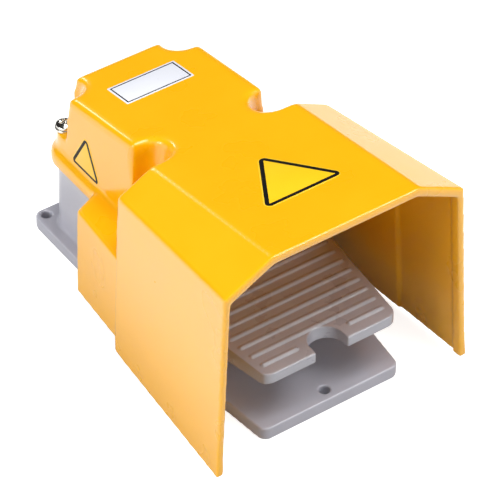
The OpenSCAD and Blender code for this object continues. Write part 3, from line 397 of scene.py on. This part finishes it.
def ring_faces(rings: int, around: int, looped: bool = False) -> list[list[int]]:
    """Faces of a closed surface that is stored as rings of points.

    The face (i, j) joins points j and j + 1 of ring i to the same points of ring i + 1.

    Args:
        rings: Number of rings.
        around: Number of points on each ring.
        looped: True to join the last ring to the first, and False to close both ends flat.

    Returns:
        Corner numbers of each face.
    """
    i, j = np.meshgrid(np.arange(rings if looped else rings - 1), np.arange(around), indexing="ij")
    here, there, beside = i * around, (i + 1) % rings * around, (j + 1) % around
    faces = np.stack([here + j, here + beside, there + beside, there + j], -1).reshape(-1, 4).tolist()
    if not looped:
        last = (rings - 1) * around
        faces += [list(range(around))[::-1], list(range(last, last + around))]
    return faces


@dataclass(frozen=True)
class Facets:
    """The facets of a CAD node: their directions, their middles and their areas."""

    normals: Array
    centres: Array
    areas: Array

    @classmethod
    def of(cls, node: str) -> "Facets":
        """Reads the facets of a CAD node.

        Args:
            node: Name of the CAD node.

        Returns:
            Its facets.
        """
        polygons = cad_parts[node].data.polygons
        columns = {"normal": 3, "center": 3, "area": 1}
        read = {name: np.empty(len(polygons) * width) for name, width in columns.items()}
        for name, values in read.items():
            polygons.foreach_get(name, values)
        return cls(read["normal"].reshape(-1, 3), read["center"].reshape(-1, 3), read["area"])

    def flats(self, least: float, same_way: float = 0.99998,
              level: float = 0.01 * MM) -> list[tuple[Array, float]]:
        """Finds the flat faces, each made up of facets that lie in one plane.

        The largest facet that is left gives the next plane, down to facets of a twentieth of
        the least area.

        Args:
            least: Smallest area of a flat face, in square metres.
            same_way: Least cosine of the turn between two of its facets.
            level: How far its facets may stand off its plane.

        Returns:
            Unit normal and distance from the origin of each flat face.
        """
        found: list[tuple[Array, float]] = []
        left = self.areas > 0
        while left.any() and self.areas[left].max() > least / 20:
            first = int(np.argmax(np.where(left, self.areas, 0)))
            normal = self.normals[first] / np.linalg.norm(self.normals[first])
            distance = float(self.centres[first] @ normal)
            beside = np.abs(self.centres @ normal - distance) < level
            same = left & (self.normals @ normal > same_way) & beside
            same[first] = True
            if self.areas[same].sum() > least:
                found.append((normal, distance))
            left &= ~same
        return found


@dataclass(frozen=True)
class Plane:
    """A flat face of a CAD node, with two directions that lie in it."""

    point: Vector
    normal: Vector
    across: Vector
    upward: Vector

    @classmethod
    def on(cls, node: str, facing: Vector, low: Vector, high: Vector, upward: Vector,
           tolerance_deg: float = 8.0, same_way: float = 0.99999) -> "Plane":
        """Measures the main flat face of a CAD node inside a region.

        Args:
            node: Name of the CAD node.
            facing: Rough outward direction of the face.
            low: Lowest corner of the region, in metres.
            high: Highest corner of the region.
            upward: Direction that the plane's second axis follows.
            tolerance_deg: How far the face may turn from facing.
            same_way: Least cosine of the turn between two of its facets.

        Returns:
            The plane of the largest such face, with its area centre as its point.
        """
        facets = Facets.of(node)
        inside = ((facets.centres > np.array(low)) & (facets.centres < np.array(high))).all(axis=1)
        near = facets.normals @ np.array(facing.normalized()) > math.cos(math.radians(tolerance_deg))
        chosen = inside & near
        best = facets.normals[np.argmax(np.where(chosen, facets.areas, -1.0))]
        same = chosen & (facets.normals @ best > same_way)
        areas = facets.areas[same]
        centre = Vector((facets.centres[same] * areas[:, None]).sum(0) / areas.sum())
        normal = Vector(best).normalized()
        second = (upward - normal * upward.dot(normal)).normalized()
        return cls(centre, normal, second.cross(normal), second)

    def moved(self, target: Vector, axis: int) -> "Plane":
        """Moves the plane's point next to a target.

        Args:
            target: Where the point goes, apart from its place along the axis.
            axis: Number of the axis along which the point drops onto the plane.

        Returns:
            The same plane with the new point.
        """
        point = target.copy()
        point[axis] = self.point[axis]
        point[axis] -= (point - self.point).dot(self.normal) / self.normal[axis]
        return Plane(point, self.normal, self.across, self.upward)

    def at(self, flat: Array, lift: Array) -> Array:
        """Places points on or above the plane.

        Args:
            flat: Distances from the plane's point, across and upward, two per point.
            lift: Height of each point above the plane.

        Returns:
            The point plus the three distances times the three directions.
        """
        directions = np.array([self.across, self.upward, self.normal])
        return np.array(self.point) + np.column_stack([flat, lift]) @ directions


# ---------------------------------------------------------------- films and prints


def rounded_outline(corners: Array, radius: float, per_corner: int = 9) -> Array:
    """Outline of a convex polygon with round corners.

    Each corner becomes an arc whose centre is the crossing of the two sides moved in by radius.

    Args:
        corners: Corner points in counter-clockwise order.
        radius: Radius of the corners.
        per_corner: Points on each arc.

    Returns:
        The outline's points.
    """
    into = unit(corners - np.roll(corners, 1, axis=0))
    out = unit(np.roll(corners, -1, axis=0) - corners)
    half_turn = np.arctan2(into[:, 0] * out[:, 1] - into[:, 1] * out[:, 0], (into * out).sum(1)) / 2
    centres = corners + unit(out - into) * (radius / np.cos(half_turn))[:, None]
    start = np.arctan2(-into[:, 0], into[:, 1])
    angles = start[:, None] + 2 * half_turn[:, None] * np.linspace(0, 1, per_corner)[None, :]
    arcs = centres[:, None, :] + radius * np.stack([np.cos(angles), np.sin(angles)], -1)
    return arcs.reshape(-1, 2)


@dataclass(frozen=True)
class Film:
    """A thin layer with a closed outline on a plane: a vinyl film or a printed line."""

    plane: Plane
    thickness: float
    lift: float = 0.0
    steps: int = 3

    def build(self, name: str, outer: Array, finish: Finish, inner: Array | None = None) -> None:
        """Builds the layer from rings of points and fixes it to the root.

        Each ring lies inside the outline by the thickness times one minus the cosine of its
        angle, and above it by the thickness times the sine, so the edge is a quarter round. The
        outline itself stands before the first ring once more, which keeps the shading of the
        flat underside out of the edge. With an inner outline the layer is a band between both.

        Args:
            name: Name of the piece.
            outer: Outline, two numbers per point, in metres in the plane.
            finish: Finish of the layer.
            inner: Inner outline with as many points, for a band.
        """
        towards = unit((outer.mean(0) if inner is None else inner) - outer)
        angles = np.linspace(0, math.pi / 2, self.steps + 1)
        rings, heights = [outer], [0.0]
        rings += [outer + towards * self.thickness * (1 - math.cos(angle)) for angle in angles]
        heights += [self.thickness * math.sin(angle) for angle in angles]
        if inner is not None:
            rings += [inner - (ring - outer) for ring in rings[::-1]]
            heights += heights[::-1]
        lifts = self.lift + np.repeat(heights, len(outer))
        points = self.plane.at(np.concatenate(rings), lifts)
        faces = ring_faces(len(rings), len(outer), looped=inner is not None)
        made = put(name, points, faces, finish)
        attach(made, ROOT)


VINYL_THICKNESS = 0.12 * MM
INK_THICKNESS = 0.015 * MM


@dataclass(frozen=True)
class RatingPlate:
    """A bare white plate with a thin printed frame."""

    width: float = 42 * MM
    height: float = 20.5 * MM
    corner: float = 0.6 * MM
    margin: float = 1.1 * MM
    line: float = 0.8 * MM
    line_corners: tuple[float, float] = (0.3 * MM, 0.2 * MM)

    def build(self, plane: Plane) -> None:
        """Builds the plate and its frame.

        Args:
            plane: The face that carries them, with its point in their middle.
        """
        corners = np.array([[-1, -1], [1, -1], [1, 1], [-1, 1]]) * (self.width / 2, self.height / 2)
        Film(plane, VINYL_THICKNESS).build("rating_plate", rounded_outline(corners, self.corner), WHITE_VINYL)
        outer, inner = (
            rounded_outline(corners - np.sign(corners) * inset, radius)
            for inset, radius in zip((self.margin, self.margin + self.line), self.line_corners))
        Film(plane, INK_THICKNESS, VINYL_THICKNESS).build("rating_plate_frame", outer, BLACK_INK, inner)


@dataclass(frozen=True)
class TriangleSign:
    """A bare triangle of yellow film with a black printed border.

    A sharp corner moves farther along its bisector than the sides move: by the reach times the
    width of the border, and of the rim of film outside it.
    """

    name: str
    side: float
    height: float
    border: float
    corner: float
    rim: float = 0.9 * MM
    border_reach: float = 1.9
    rim_reach: float = 1.6
    least_corner: float = 0.3 * MM

    def build(self, plane: Plane) -> None:
        """Builds the film and the border.

        Args:
            plane: The face that carries them, with its point at their top corner.
        """
        half = self.side / 2
        corners = np.array([[-half, -self.height], [half, -self.height], [0, 0]])
        inward = unit(corners.mean(0) - corners)
        field = rounded_outline(corners - inward * self.rim * self.rim_reach, self.corner + self.rim)
        Film(plane, VINYL_THICKNESS).build(self.name + "_film", field, YELLOW_VINYL)
        outer = rounded_outline(corners, self.corner)
        inner = rounded_outline(corners + inward * self.border * self.border_reach,
                                max(self.corner - self.border, self.least_corner))
        Film(plane, INK_THICKNESS, VINYL_THICKNESS).build(self.name + "_border", outer, BLACK_INK, inner)


# ---------------------------------------------------------------- castings and mouldings


@dataclass(frozen=True)
class SoftZone:
    """A block of space in which a casting's edges are rounder or crisper than elsewhere."""

    low: Place
    high: Place
    radius: float
    fade: float

    def share(self, points: Array) -> Array:
        """Returns one inside the block, falling to nought over the fade outside it."""
        away = np.maximum(np.maximum(np.array(self.low) - points, points - np.array(self.high)), 0)
        return np.clip(1 - np.linalg.norm(away, axis=1) / self.fade, 0, 1)


def relax(points: Array, edges: Array, passes: Array) -> Array:
    """Rounds a fine mesh by moving its points halfway to the mean of their neighbours.

    Args:
        points: Places of the points, one row each.
        edges: Two point numbers per edge.
        passes: How often each point moves.

    Returns:
        The moved points.
    """
    points = points.copy()
    ways = np.concatenate([edges, edges[:, ::-1]])
    ways = ways[np.argsort(ways[:, 0], kind="stable")]
    due = passes[ways[:, 0]]
    done = 0
    for stop in np.unique(passes[passes > 0]):
        active = ways[due >= stop]
        owners, first = np.unique(active[:, 0], return_index=True)
        counts = np.diff(np.append(first, len(active)))[:, None]
        for _ in range(stop - done):
            mean = np.add.reduceat(points[active[:, 1]], first, axis=0) / counts
            points[owners] = (points[owners] + mean) / 2
        done = stop
    return points


@dataclass
class CastCopy:
    """A CAD node's shape with the round edges and soft valleys of a casting.

    The shape is laid on a fine even grid. Its points then move towards their neighbours in
    passes, which turns every edge and valley into a round: the number of passes is pass_rate
    times the square of the radius over the grid. Flat faces are then laid true again, and at
    last they lose their spare triangles.
    """

    node: str
    name: str
    grid: float
    radius: float
    keep: float
    zones: tuple[SoftZone, ...] = ()
    pass_rate: float = 2.56
    least_flat: float = 40 * MM * MM
    slack: float = 0.09 * MM
    flat_turn_deg: float = 6.0

    def build(self, body: str) -> None:
        """Builds the piece and lets it stand for its node.

        Args:
            body: Name of the CAD body that it rides on.
        """
        holder = in_scene(self.name, merged_mesh(self.node, self.name))
        cells = holder.modifiers.new("fine_grid", "REMESH")
        cells.mode, cells.voxel_size, cells.adaptivity = "VOXEL", self.grid, 0.0
        self._bake(holder)
        self._round(holder.data)
        thinner = holder.modifiers.new("fewer_triangles", "DECIMATE")
        thinner.ratio = self.keep
        self._bake(holder)
        low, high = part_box(self.node)
        write_points(holder.data, np.clip(read_points(holder.data), low, high))
        holder.data.polygons.foreach_set("use_smooth", [True] * len(holder.data.polygons))
        even = holder.modifiers.new("even_shading", "WEIGHTED_NORMAL")
        even.keep_sharp, even.weight = False, 100
        holder.data.materials.clear()
        holder.data.materials.append(finish_of(self.node).material())
        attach(holder, body)
        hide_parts(self.node)
        report(holder)

    @staticmethod
    def _bake(holder: bpy.types.Object) -> None:
        """Turns what the modifiers make into the object's own mesh.

        Args:
            holder: The object, which loses its modifiers and its old mesh.
        """
        state = bpy.context.evaluated_depsgraph_get()
        made = bpy.data.meshes.new_from_object(holder.evaluated_get(state), depsgraph=state)
        old = holder.data
        holder.modifiers.clear()
        holder.data = made
        bpy.data.meshes.remove(old)

    def _round(self, mesh: bpy.types.Mesh) -> None:
        """Rounds the fine mesh, each point by the radius that holds where it is.

        Args:
            mesh: The mesh on the even grid.
        """
        points = read_points(mesh)
        edges = np.empty(len(mesh.edges) * 2, dtype=np.int64)
        mesh.edges.foreach_get("vertices", edges)
        radius = np.full(len(points), self.radius)
        for zone in self.zones:
            radius += (zone.radius - radius) * zone.share(points)
        passes = np.rint(self.pass_rate * (radius / self.grid) ** 2).astype(np.int64)
        points = relax(points, edges.reshape(-1, 2), passes)
        write_points(mesh, points)
        normals = np.empty(len(points) * 3)
        mesh.vertex_normals.foreach_get("vector", normals)
        write_points(mesh, self._flatten(points, normals.reshape(-1, 3)))

    def _flatten(self, points: Array, normals: Array) -> Array:
        """Lays the points that are almost on a flat face of the node exactly on it.

        A point within half the slack of its nearest flat face moves all the way, and beyond
        that its share of the move falls to nought at the full slack.

        Args:
            points: Places of the points.
            normals: Directions of the surface at the points.

        Returns:
            The new places.
        """
        nearest = np.full(len(points), self.slack)
        moves = np.zeros_like(points)
        for normal, distance in Facets.of(self.node).flats(self.least_flat):
            off = points @ normal - distance
            level = normals @ normal > math.cos(math.radians(self.flat_turn_deg))
            hit = (np.abs(off) < nearest) & level
            nearest[hit] = np.abs(off[hit])
            share = np.clip(2 - 2 * nearest[hit] / self.slack, 0, 1)
            moves[hit] = -(off[hit] * share)[:, None] * normal
        return points + moves


@dataclass
class SmoothCopy:
    """A CAD node's mesh with its facets joined to smooth rounds and crisp edges."""

    node: str
    crisp_deg: float = 34.0

    def build(self, body: str) -> None:
        """Builds the copy and lets it stand for its node.

        Args:
            body: Name of the CAD body that it rides on.
        """
        mesh = merged_mesh(self.node, self.node + "_smooth")
        mesh.polygons.foreach_set("use_smooth", [True] * len(mesh.polygons))
        mesh.set_sharp_from_angle(angle=math.radians(self.crisp_deg))
        mesh.materials.append(finish_of(self.node).material())
        made = in_scene(mesh.name, mesh)
        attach(made, body)
        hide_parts(self.node)
        report(made)


# ---------------------------------------------------------------- sub-assemblies


class Assembly(Protocol):
    """What main builds: anything that can put its own pieces into the scene."""

    def build(self) -> None:
        """Builds the pieces."""


@dataclass
class GuardCover:
    """The yellow casting: guard, wings and switch box, with its plate and its signs.

    Lengths along the casting run from the mouth, and heights from the floor.
    """

    grid: float = 0.65 * MM
    keep: float = 0.2
    edge: float = 1.7 * MM
    box_edge: float = 3.6 * MM
    box_front: float = 112 * MM
    box_bottom: float = 98 * MM
    lip_edge: float = 2.6 * MM
    lip_front: float = 156 * MM
    lip_bottom: float = 58 * MM
    lip_top: float = 68 * MM
    rim_edge: float = 1.5 * MM
    rim_depth: float = 5 * MM
    foot_edge: float = 0.7 * MM
    foot_length: float = 100 * MM
    foot_top: float = 8 * MM
    plate: RatingPlate = RatingPlate()
    plate_centre: float = 176 * MM
    roof_sign: TriangleSign = TriangleSign("roof_triangle", 48 * MM, 41.6 * MM, 2.4 * MM, 2.6 * MM)
    roof_sign_top: float = 77.8 * MM
    roof_sign_aside: float = 0.8 * MM
    side_sign: TriangleSign = TriangleSign("side_triangle", 27.5 * MM, 24.5 * MM, 2.0 * MM, 2.4 * MM)
    side_sign_centre: float = 174 * MM
    side_sign_height: float = 90.6 * MM

    def build(self) -> None:
        """Builds the shell, the rating plate and the two triangles."""
        low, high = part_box("guard_cover")
        CastCopy("guard_cover", "guard_cover_shell", self.grid, self.edge, self.keep,
                 self._zones(low, high)).build(ROOT)
        mouth = low[1]
        roof = Plane.on("guard_cover", Vector((0, 0.17, 1)), Vector((-0.05, mouth, 0.08)),
                        Vector((0.05, high[1], high[2] + 0.01)), Vector((0, 1, 0)))
        wall = Plane.on("guard_cover", Vector((-1, 0, 0)), Vector((-0.06, mouth + 140 * MM, 0.07)),
                        Vector((-0.03, mouth + 190 * MM, 0.11)), Vector((0, 0, 1)))
        self.plate.build(roof.moved(Vector((0, mouth + self.plate_centre, 0)), 2))
        self.roof_sign.build(
            roof.moved(Vector((self.roof_sign_aside, mouth + self.roof_sign_top, 0)), 2))
        self.side_sign.build(
            wall.moved(Vector((0, mouth + self.side_sign_centre, self.side_sign_height)), 0))

    def _zones(self, low: Vector, high: Vector) -> tuple[SoftZone, ...]:
        """Gives the parts whose edges differ: box top, lip with wing tops, rim, and lower edges.

        Args:
            low: Lowest corner of the casting.
            high: Highest corner of the casting.

        Returns:
            The zones, a later one holding where two meet.
        """
        mouth = low[1]
        return (
            SoftZone((low[0], mouth + self.box_front, self.box_bottom), tuple(high),
                     self.box_edge, fade=8 * MM),
            SoftZone((low[0], mouth + self.lip_front, self.lip_bottom), (high[0], high[1], self.lip_top),
                     self.lip_edge, fade=5 * MM),
            SoftZone(tuple(low), (high[0], mouth + self.rim_depth, high[2]),
                     self.rim_edge, fade=6 * MM),
            SoftZone(tuple(low), (high[0], mouth + self.foot_length, self.foot_top),
                     self.foot_edge, fade=8 * MM),
        )


@dataclass
class BaseCasting:
    """The grey base: plate, housing and flange."""

    grid: float = 0.6 * MM
    edge: float = 0.8 * MM
    keep: float = 0.17

    def build(self) -> None:
        """Builds the casting with rounded edges."""
        CastCopy("base_casting", "base_casting_body", self.grid, self.edge, self.keep).build(ROOT)


@dataclass
class Pedal:
    """The grey pedal with its grip ribs."""

    grid: float = 0.4 * MM
    edge: float = 1.0 * MM
    rib_edge: float = 0.3 * MM
    rib_bottom: float = 30 * MM
    rim: float = 3.0 * MM
    keep: float = 0.22

    def build(self) -> None:
        """Builds the pedal with rounded edges and crisper ribs."""
        low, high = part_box("pedal")
        ribs = SoftZone((low[0] + self.rim, low[1] + self.rim, self.rib_bottom),
                        (high[0] - self.rim, high[1], high[2]), self.rib_edge, fade=2 * MM)
        CastCopy("pedal", "pedal_casting", self.grid, self.edge, self.keep, (ribs,)).build(PEDAL_BODY)


@dataclass
class ReturnSpring:
    """The coil spring under the pedal, built at the height of its CAD node; the real spring shortens as the
    pedal goes down.

    The surface has two parameters: the turn along the wire and the angle around it. The wire's
    middle runs on a circle and rises by one wire thickness in the first and in the last turn,
    which closes both ends, and evenly in between.
    """

    wire: float = 2.2 * MM
    turns: int = 6
    pressed_share: float = 0.65
    per_turn: int = 40
    around: int = 14

    def build(self) -> None:
        """Builds the coil, fixes it to the root and hides the CAD node."""
        low, high = (np.array(corner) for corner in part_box("return_spring"))
        centre, radius = (low + high) / 2, (high[0] - low[0] - self.wire) / 2
        turn = np.linspace(0, self.turns, self.turns * self.per_turn + 1)
        climb = high[2] - low[2] - self.wire
        height = np.interp(turn, [0, 1, self.turns - 1, self.turns],
                           [0, self.wire, climb - self.wire, climb]) + low[2] + self.wire / 2
        angle = 2 * math.pi * turn
        outward = np.stack([np.cos(angle), np.sin(angle), np.zeros_like(angle)], -1)
        path = np.array([centre[0], centre[1], 0]) + radius * outward
        path[:, 2] = height
        upward = np.cross(unit(np.gradient(path, axis=0)), outward)
        around = np.linspace(0, 2 * math.pi, self.around, endpoint=False)[None, :, None]
        rings = path[:, None, :] + self.wire / 2 * (
            np.cos(around) * outward[:, None, :] + np.sin(around) * upward[:, None, :])
        coil = put("return_spring_coil", rings, ring_faces(len(turn), self.around), SPRING_STEEL)
        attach(coil, ROOT)
        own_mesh(coil)
        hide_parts("return_spring")


@dataclass
class CableGland:
    """The nylon gland in the rear wall."""

    grid: float = 0.3 * MM
    edge: float = 0.6 * MM
    keep: float = 0.25

    def build(self) -> None:
        """Builds the body and the nut with moulded edges, and the washer and the seal smooth."""
        for node in ("gland_body", "gland_nut"):
            CastCopy(node, node + "_moulding", self.grid, self.edge, self.keep).build(ROOT)
        for node in ("gland_washer", "gland_seal"):
            SmoothCopy(node).build(ROOT)


@dataclass
class Fasteners:
    """Screws, washers, shaft, bushes and buffers that show."""

    grid: float = 0.2 * MM
    edge: float = 0.3 * MM
    keep: float = 0.3

    def build(self) -> None:
        """Builds the cover screws with soft heads and smooth copies of the other pieces."""
        CastCopy("cover_screws", "cover_screw_heads", self.grid, self.edge, self.keep).build(ROOT)
        for node in ("cover_washers", "left_bush", "right_bush", "stop_buffers", "rest_buffer"):
            SmoothCopy(node).build(ROOT)
        for node in ("pivot_shaft", "shaft_clips", "hub_set_screws"):
            SmoothCopy(node).build(PEDAL_BODY)


# ---------------------------------------------------------------- studio


@dataclass(frozen=True)
class Floor:
    """A pale floor, white to the eye, which keeps the object's shadow."""

    half: float = 4.0
    colour: str = "#c8c8c8"
    seen_glow: float = 0.84
    # Floor brightness in mirrors under the object and around it; the low value is a painted shadow seen in
    # reflections.
    mirrored_glow: tuple[float, float] = (0.05, 0.7)
    mirrored_from: tuple[float, float] = (-5 * MM, 35 * MM)

    def build(self) -> None:
        """Builds the floor at the height of the base's underside."""
        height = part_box("base_casting")[0][2]
        corners = [(x * self.half, y * self.half, height) for x, y in ((-1, -1), (1, -1), (1, 1), (-1, 1))]
        mesh = bpy.data.meshes.new("floor")
        mesh.from_pydata(corners, [], [(0, 1, 2, 3)])
        mesh.materials.append(self._paper())
        floor = in_scene("floor", mesh)

    def _paper(self) -> bpy.types.Material:
        """Builds matt white paper that glows to the eye, and in mirrors beyond the object, with a painted
        shadow under the object in mirrors.

        Returns:
            The material.
        """
        paper = bpy.data.materials.new("white_paper_floor")
        paper.use_nodes = True
        tree = paper.node_tree
        tree.nodes.clear()
        ray = add(tree, "ShaderNodeLightPath").outputs
        seen = add(tree, "ShaderNodeMath", {"operation": "MULTIPLY"}, {1: self.seen_glow},
                   {0: ray["Is Camera Ray"]})
        # Glossy rays see the floor dimmer under the object: a painted shadow in reflections.
        both = add(tree, "ShaderNodeMath", {"operation": "MULTIPLY_ADD"}, None,
                   {0: ray["Is Glossy Ray"], 1: self._mirrored_painted_shadow(tree), 2: seen.outputs["Value"]})
        matt = add(tree, "ShaderNodeBsdfDiffuse", None, {"Color": linear(self.colour)})
        glow = add(tree, "ShaderNodeEmission", None, {"Color": WHITE}, {"Strength": both.outputs["Value"]})
        shader = add(tree, "ShaderNodeAddShader", None, None,
                     {0: matt.outputs["BSDF"], 1: glow.outputs["Emission"]})
        add(tree, "ShaderNodeOutputMaterial", None, None, {"Surface": shader.outputs["Shader"]})
        return paper

    def _mirrored_painted_shadow(self, tree: bpy.types.NodeTree) -> Socket:
        """Adds the floor's brightness in mirrors: low under the object, which is a painted shadow seen in
        reflections, and full around it.

        It grows with the larger of two distances: past the guard's side, and past its mouth.

        Args:
            tree: The floor material's node tree.

        Returns:
            The output that gives the brightness.
        """
        low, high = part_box("guard_cover")
        place = add(tree, "ShaderNodeTexCoord").outputs["Object"]
        parts = add(tree, "ShaderNodeSeparateXYZ", None, None, {"Vector": place}).outputs
        past: list[Socket] = []
        for axis, half in (("X", high[0]), ("Y", -low[1])):
            size = add(tree, "ShaderNodeMath", {"operation": "ABSOLUTE"}, None, {0: parts[axis]})
            past.append(add(tree, "ShaderNodeMath", {"operation": "SUBTRACT"}, {1: half},
                            {0: size.outputs["Value"]}).outputs["Value"])
        farther = add(tree, "ShaderNodeMath", {"operation": "MAXIMUM"}, None, {0: past[0], 1: past[1]})
        return add(tree, "ShaderNodeMapRange", None, {
            "From Min": self.mirrored_from[0], "From Max": self.mirrored_from[1],
            "To Min": self.mirrored_glow[0], "To Max": self.mirrored_glow[1],
        }, {"Value": farther.outputs["Value"]}).outputs["Result"]


@dataclass(frozen=True)
class Surroundings:
    """The room: white to the eye, soft light on the object, and darker overhead in mirrors."""

    soft: float = 0.2
    rear_weight: float = 0.9
    mirrored_from: tuple[float, float] = (0.1, 0.55)
    mirrored: tuple[float, float] = (0.95, 0.03)

    def build(self) -> None:
        """Builds the world.

        In mirrors its brightness falls with the height of a direction plus rear_weight times
        how far it points to the rear.
        """
        world = bpy.data.worlds.new("studio")
        bpy.context.scene.world = world
        world.use_nodes = True
        tree = world.node_tree
        tree.nodes.clear()
        ray = add(tree, "ShaderNodeLightPath").outputs
        place = add(tree, "ShaderNodeTexCoord").outputs["Generated"]
        parts = add(tree, "ShaderNodeSeparateXYZ", None, None, {"Vector": place}).outputs
        rearward = add(tree, "ShaderNodeMath", {"operation": "MULTIPLY_ADD"}, {1: self.rear_weight},
                       {0: parts["Y"], 2: parts["Z"]})
        overhead = add(tree, "ShaderNodeMapRange", None, {
            "From Min": self.mirrored_from[0], "From Max": self.mirrored_from[1],
            "To Min": self.mirrored[0], "To Max": self.mirrored[1],
        }, {"Value": rearward.outputs["Value"]})
        soft = add(tree, "ShaderNodeBackground", None, {"Color": WHITE, "Strength": self.soft})
        mirrored = add(tree, "ShaderNodeBackground", None, {"Color": WHITE},
                       {"Strength": overhead.outputs["Result"]})
        white = add(tree, "ShaderNodeBackground", None, {"Color": WHITE, "Strength": 1.0})
        light = add(tree, "ShaderNodeMixShader", None, None, {
            0: ray["Is Glossy Ray"], 1: soft.outputs["Background"], 2: mirrored.outputs["Background"]})
        whole = add(tree, "ShaderNodeMixShader", None, None, {
            0: ray["Is Camera Ray"], 1: light.outputs["Shader"], 2: white.outputs["Background"]})
        add(tree, "ShaderNodeOutputWorld", None, None, {"Surface": whole.outputs["Shader"]})


@dataclass(frozen=True)
class Lamp:
    """A square soft lamp, by its place, the length of its side and its power in watts."""

    name: str
    place: Place
    side: float
    watts: float

    def build(self, aim: Vector) -> None:
        """Puts the lamp into the scene.

        Args:
            aim: The point that it faces.
        """
        data = bpy.data.lights.new(self.name, "AREA")
        data.shape, data.size, data.energy = "SQUARE", self.side, self.watts
        lamp = in_scene(self.name, data)
        lamp.location = self.place
        lamp.rotation_euler = (aim - Vector(self.place)).to_track_quat("-Z", "Y").to_euler()


@dataclass(frozen=True)
class View:
    """The camera, by its direction, roll and distance from the aim."""

    azimuth_deg: float = -34.33
    elevation_deg: float = 42.03
    roll_deg: float = -0.43
    distance: float = 1.66806
    lens_mm: float = 231.96
    sensor_mm: float = 36.0
    clip: tuple[float, float] = (0.1, 20.0)

    def build(self, aim: Vector) -> None:
        """Puts the camera into the scene and makes it the scene's own.

        Args:
            aim: The point in the middle of the view.
        """
        azimuth, elevation = math.radians(self.azimuth_deg), math.radians(self.elevation_deg)
        back = Vector((math.sin(azimuth) * math.cos(elevation), -math.cos(azimuth) * math.cos(elevation),
                       math.sin(elevation)))
        right = Vector((math.cos(azimuth), math.sin(azimuth), 0))
        level = Matrix((right, back.cross(right), back)).transposed()
        turn = level @ Matrix.Rotation(math.radians(self.roll_deg), 3, "Z")
        data = bpy.data.cameras.new("view")
        data.sensor_width, data.lens = self.sensor_mm, self.lens_mm
        data.clip_start, data.clip_end = self.clip
        camera = in_scene("view", data)
        camera.matrix_world = Matrix.Translation(aim + back * self.distance) @ turn.to_4x4()
        bpy.context.scene.camera = camera


@dataclass
class Studio:
    """Floor, surroundings, lamps and camera."""

    aim: Place = (-0.00164, -0.03537, 0.058)
    floor: Floor = Floor()
    surroundings: Surroundings = Surroundings()
    lamps: tuple[Lamp, ...] = (
        Lamp("overhead_panel", (0.4, -0.45, 2.2), 1.6, 50.0),
        Lamp("left_panel", (-1.95, 0.0, 0.85), 1.0, 27.0),
        Lamp("front_lamp", (0.8, -1.6, 1.0), 0.4, 9.0),
        Lamp("rear_lamp", (0.15, 1.7, 1.0), 0.3, 2.4),
    )
    view: View = View()

    def build(self) -> None:
        """Builds floor, world, lamps and camera."""
        self.floor.build()
        self.surroundings.build()
        for lamp in self.lamps:
            lamp.build(Vector(self.aim))
        self.view.build(Vector(self.aim))
        bpy.context.scene.view_settings.view_transform = "Standard"


def main() -> None:
    """Builds the studio and every sub-assembly, and reports each."""
    logging.basicConfig(level=logging.INFO, format="%(message)s")
    dress_nodes()
    assemblies: tuple[Assembly, ...] = (
        Studio(), GuardCover(), BaseCasting(), Pedal(), ReturnSpring(), CableGland(), Fasteners())
    for assembly in assemblies:
        assembly.build()
        LOG.info("%s built", type(assembly).__name__)


if __name__ == "__main__":
    main()
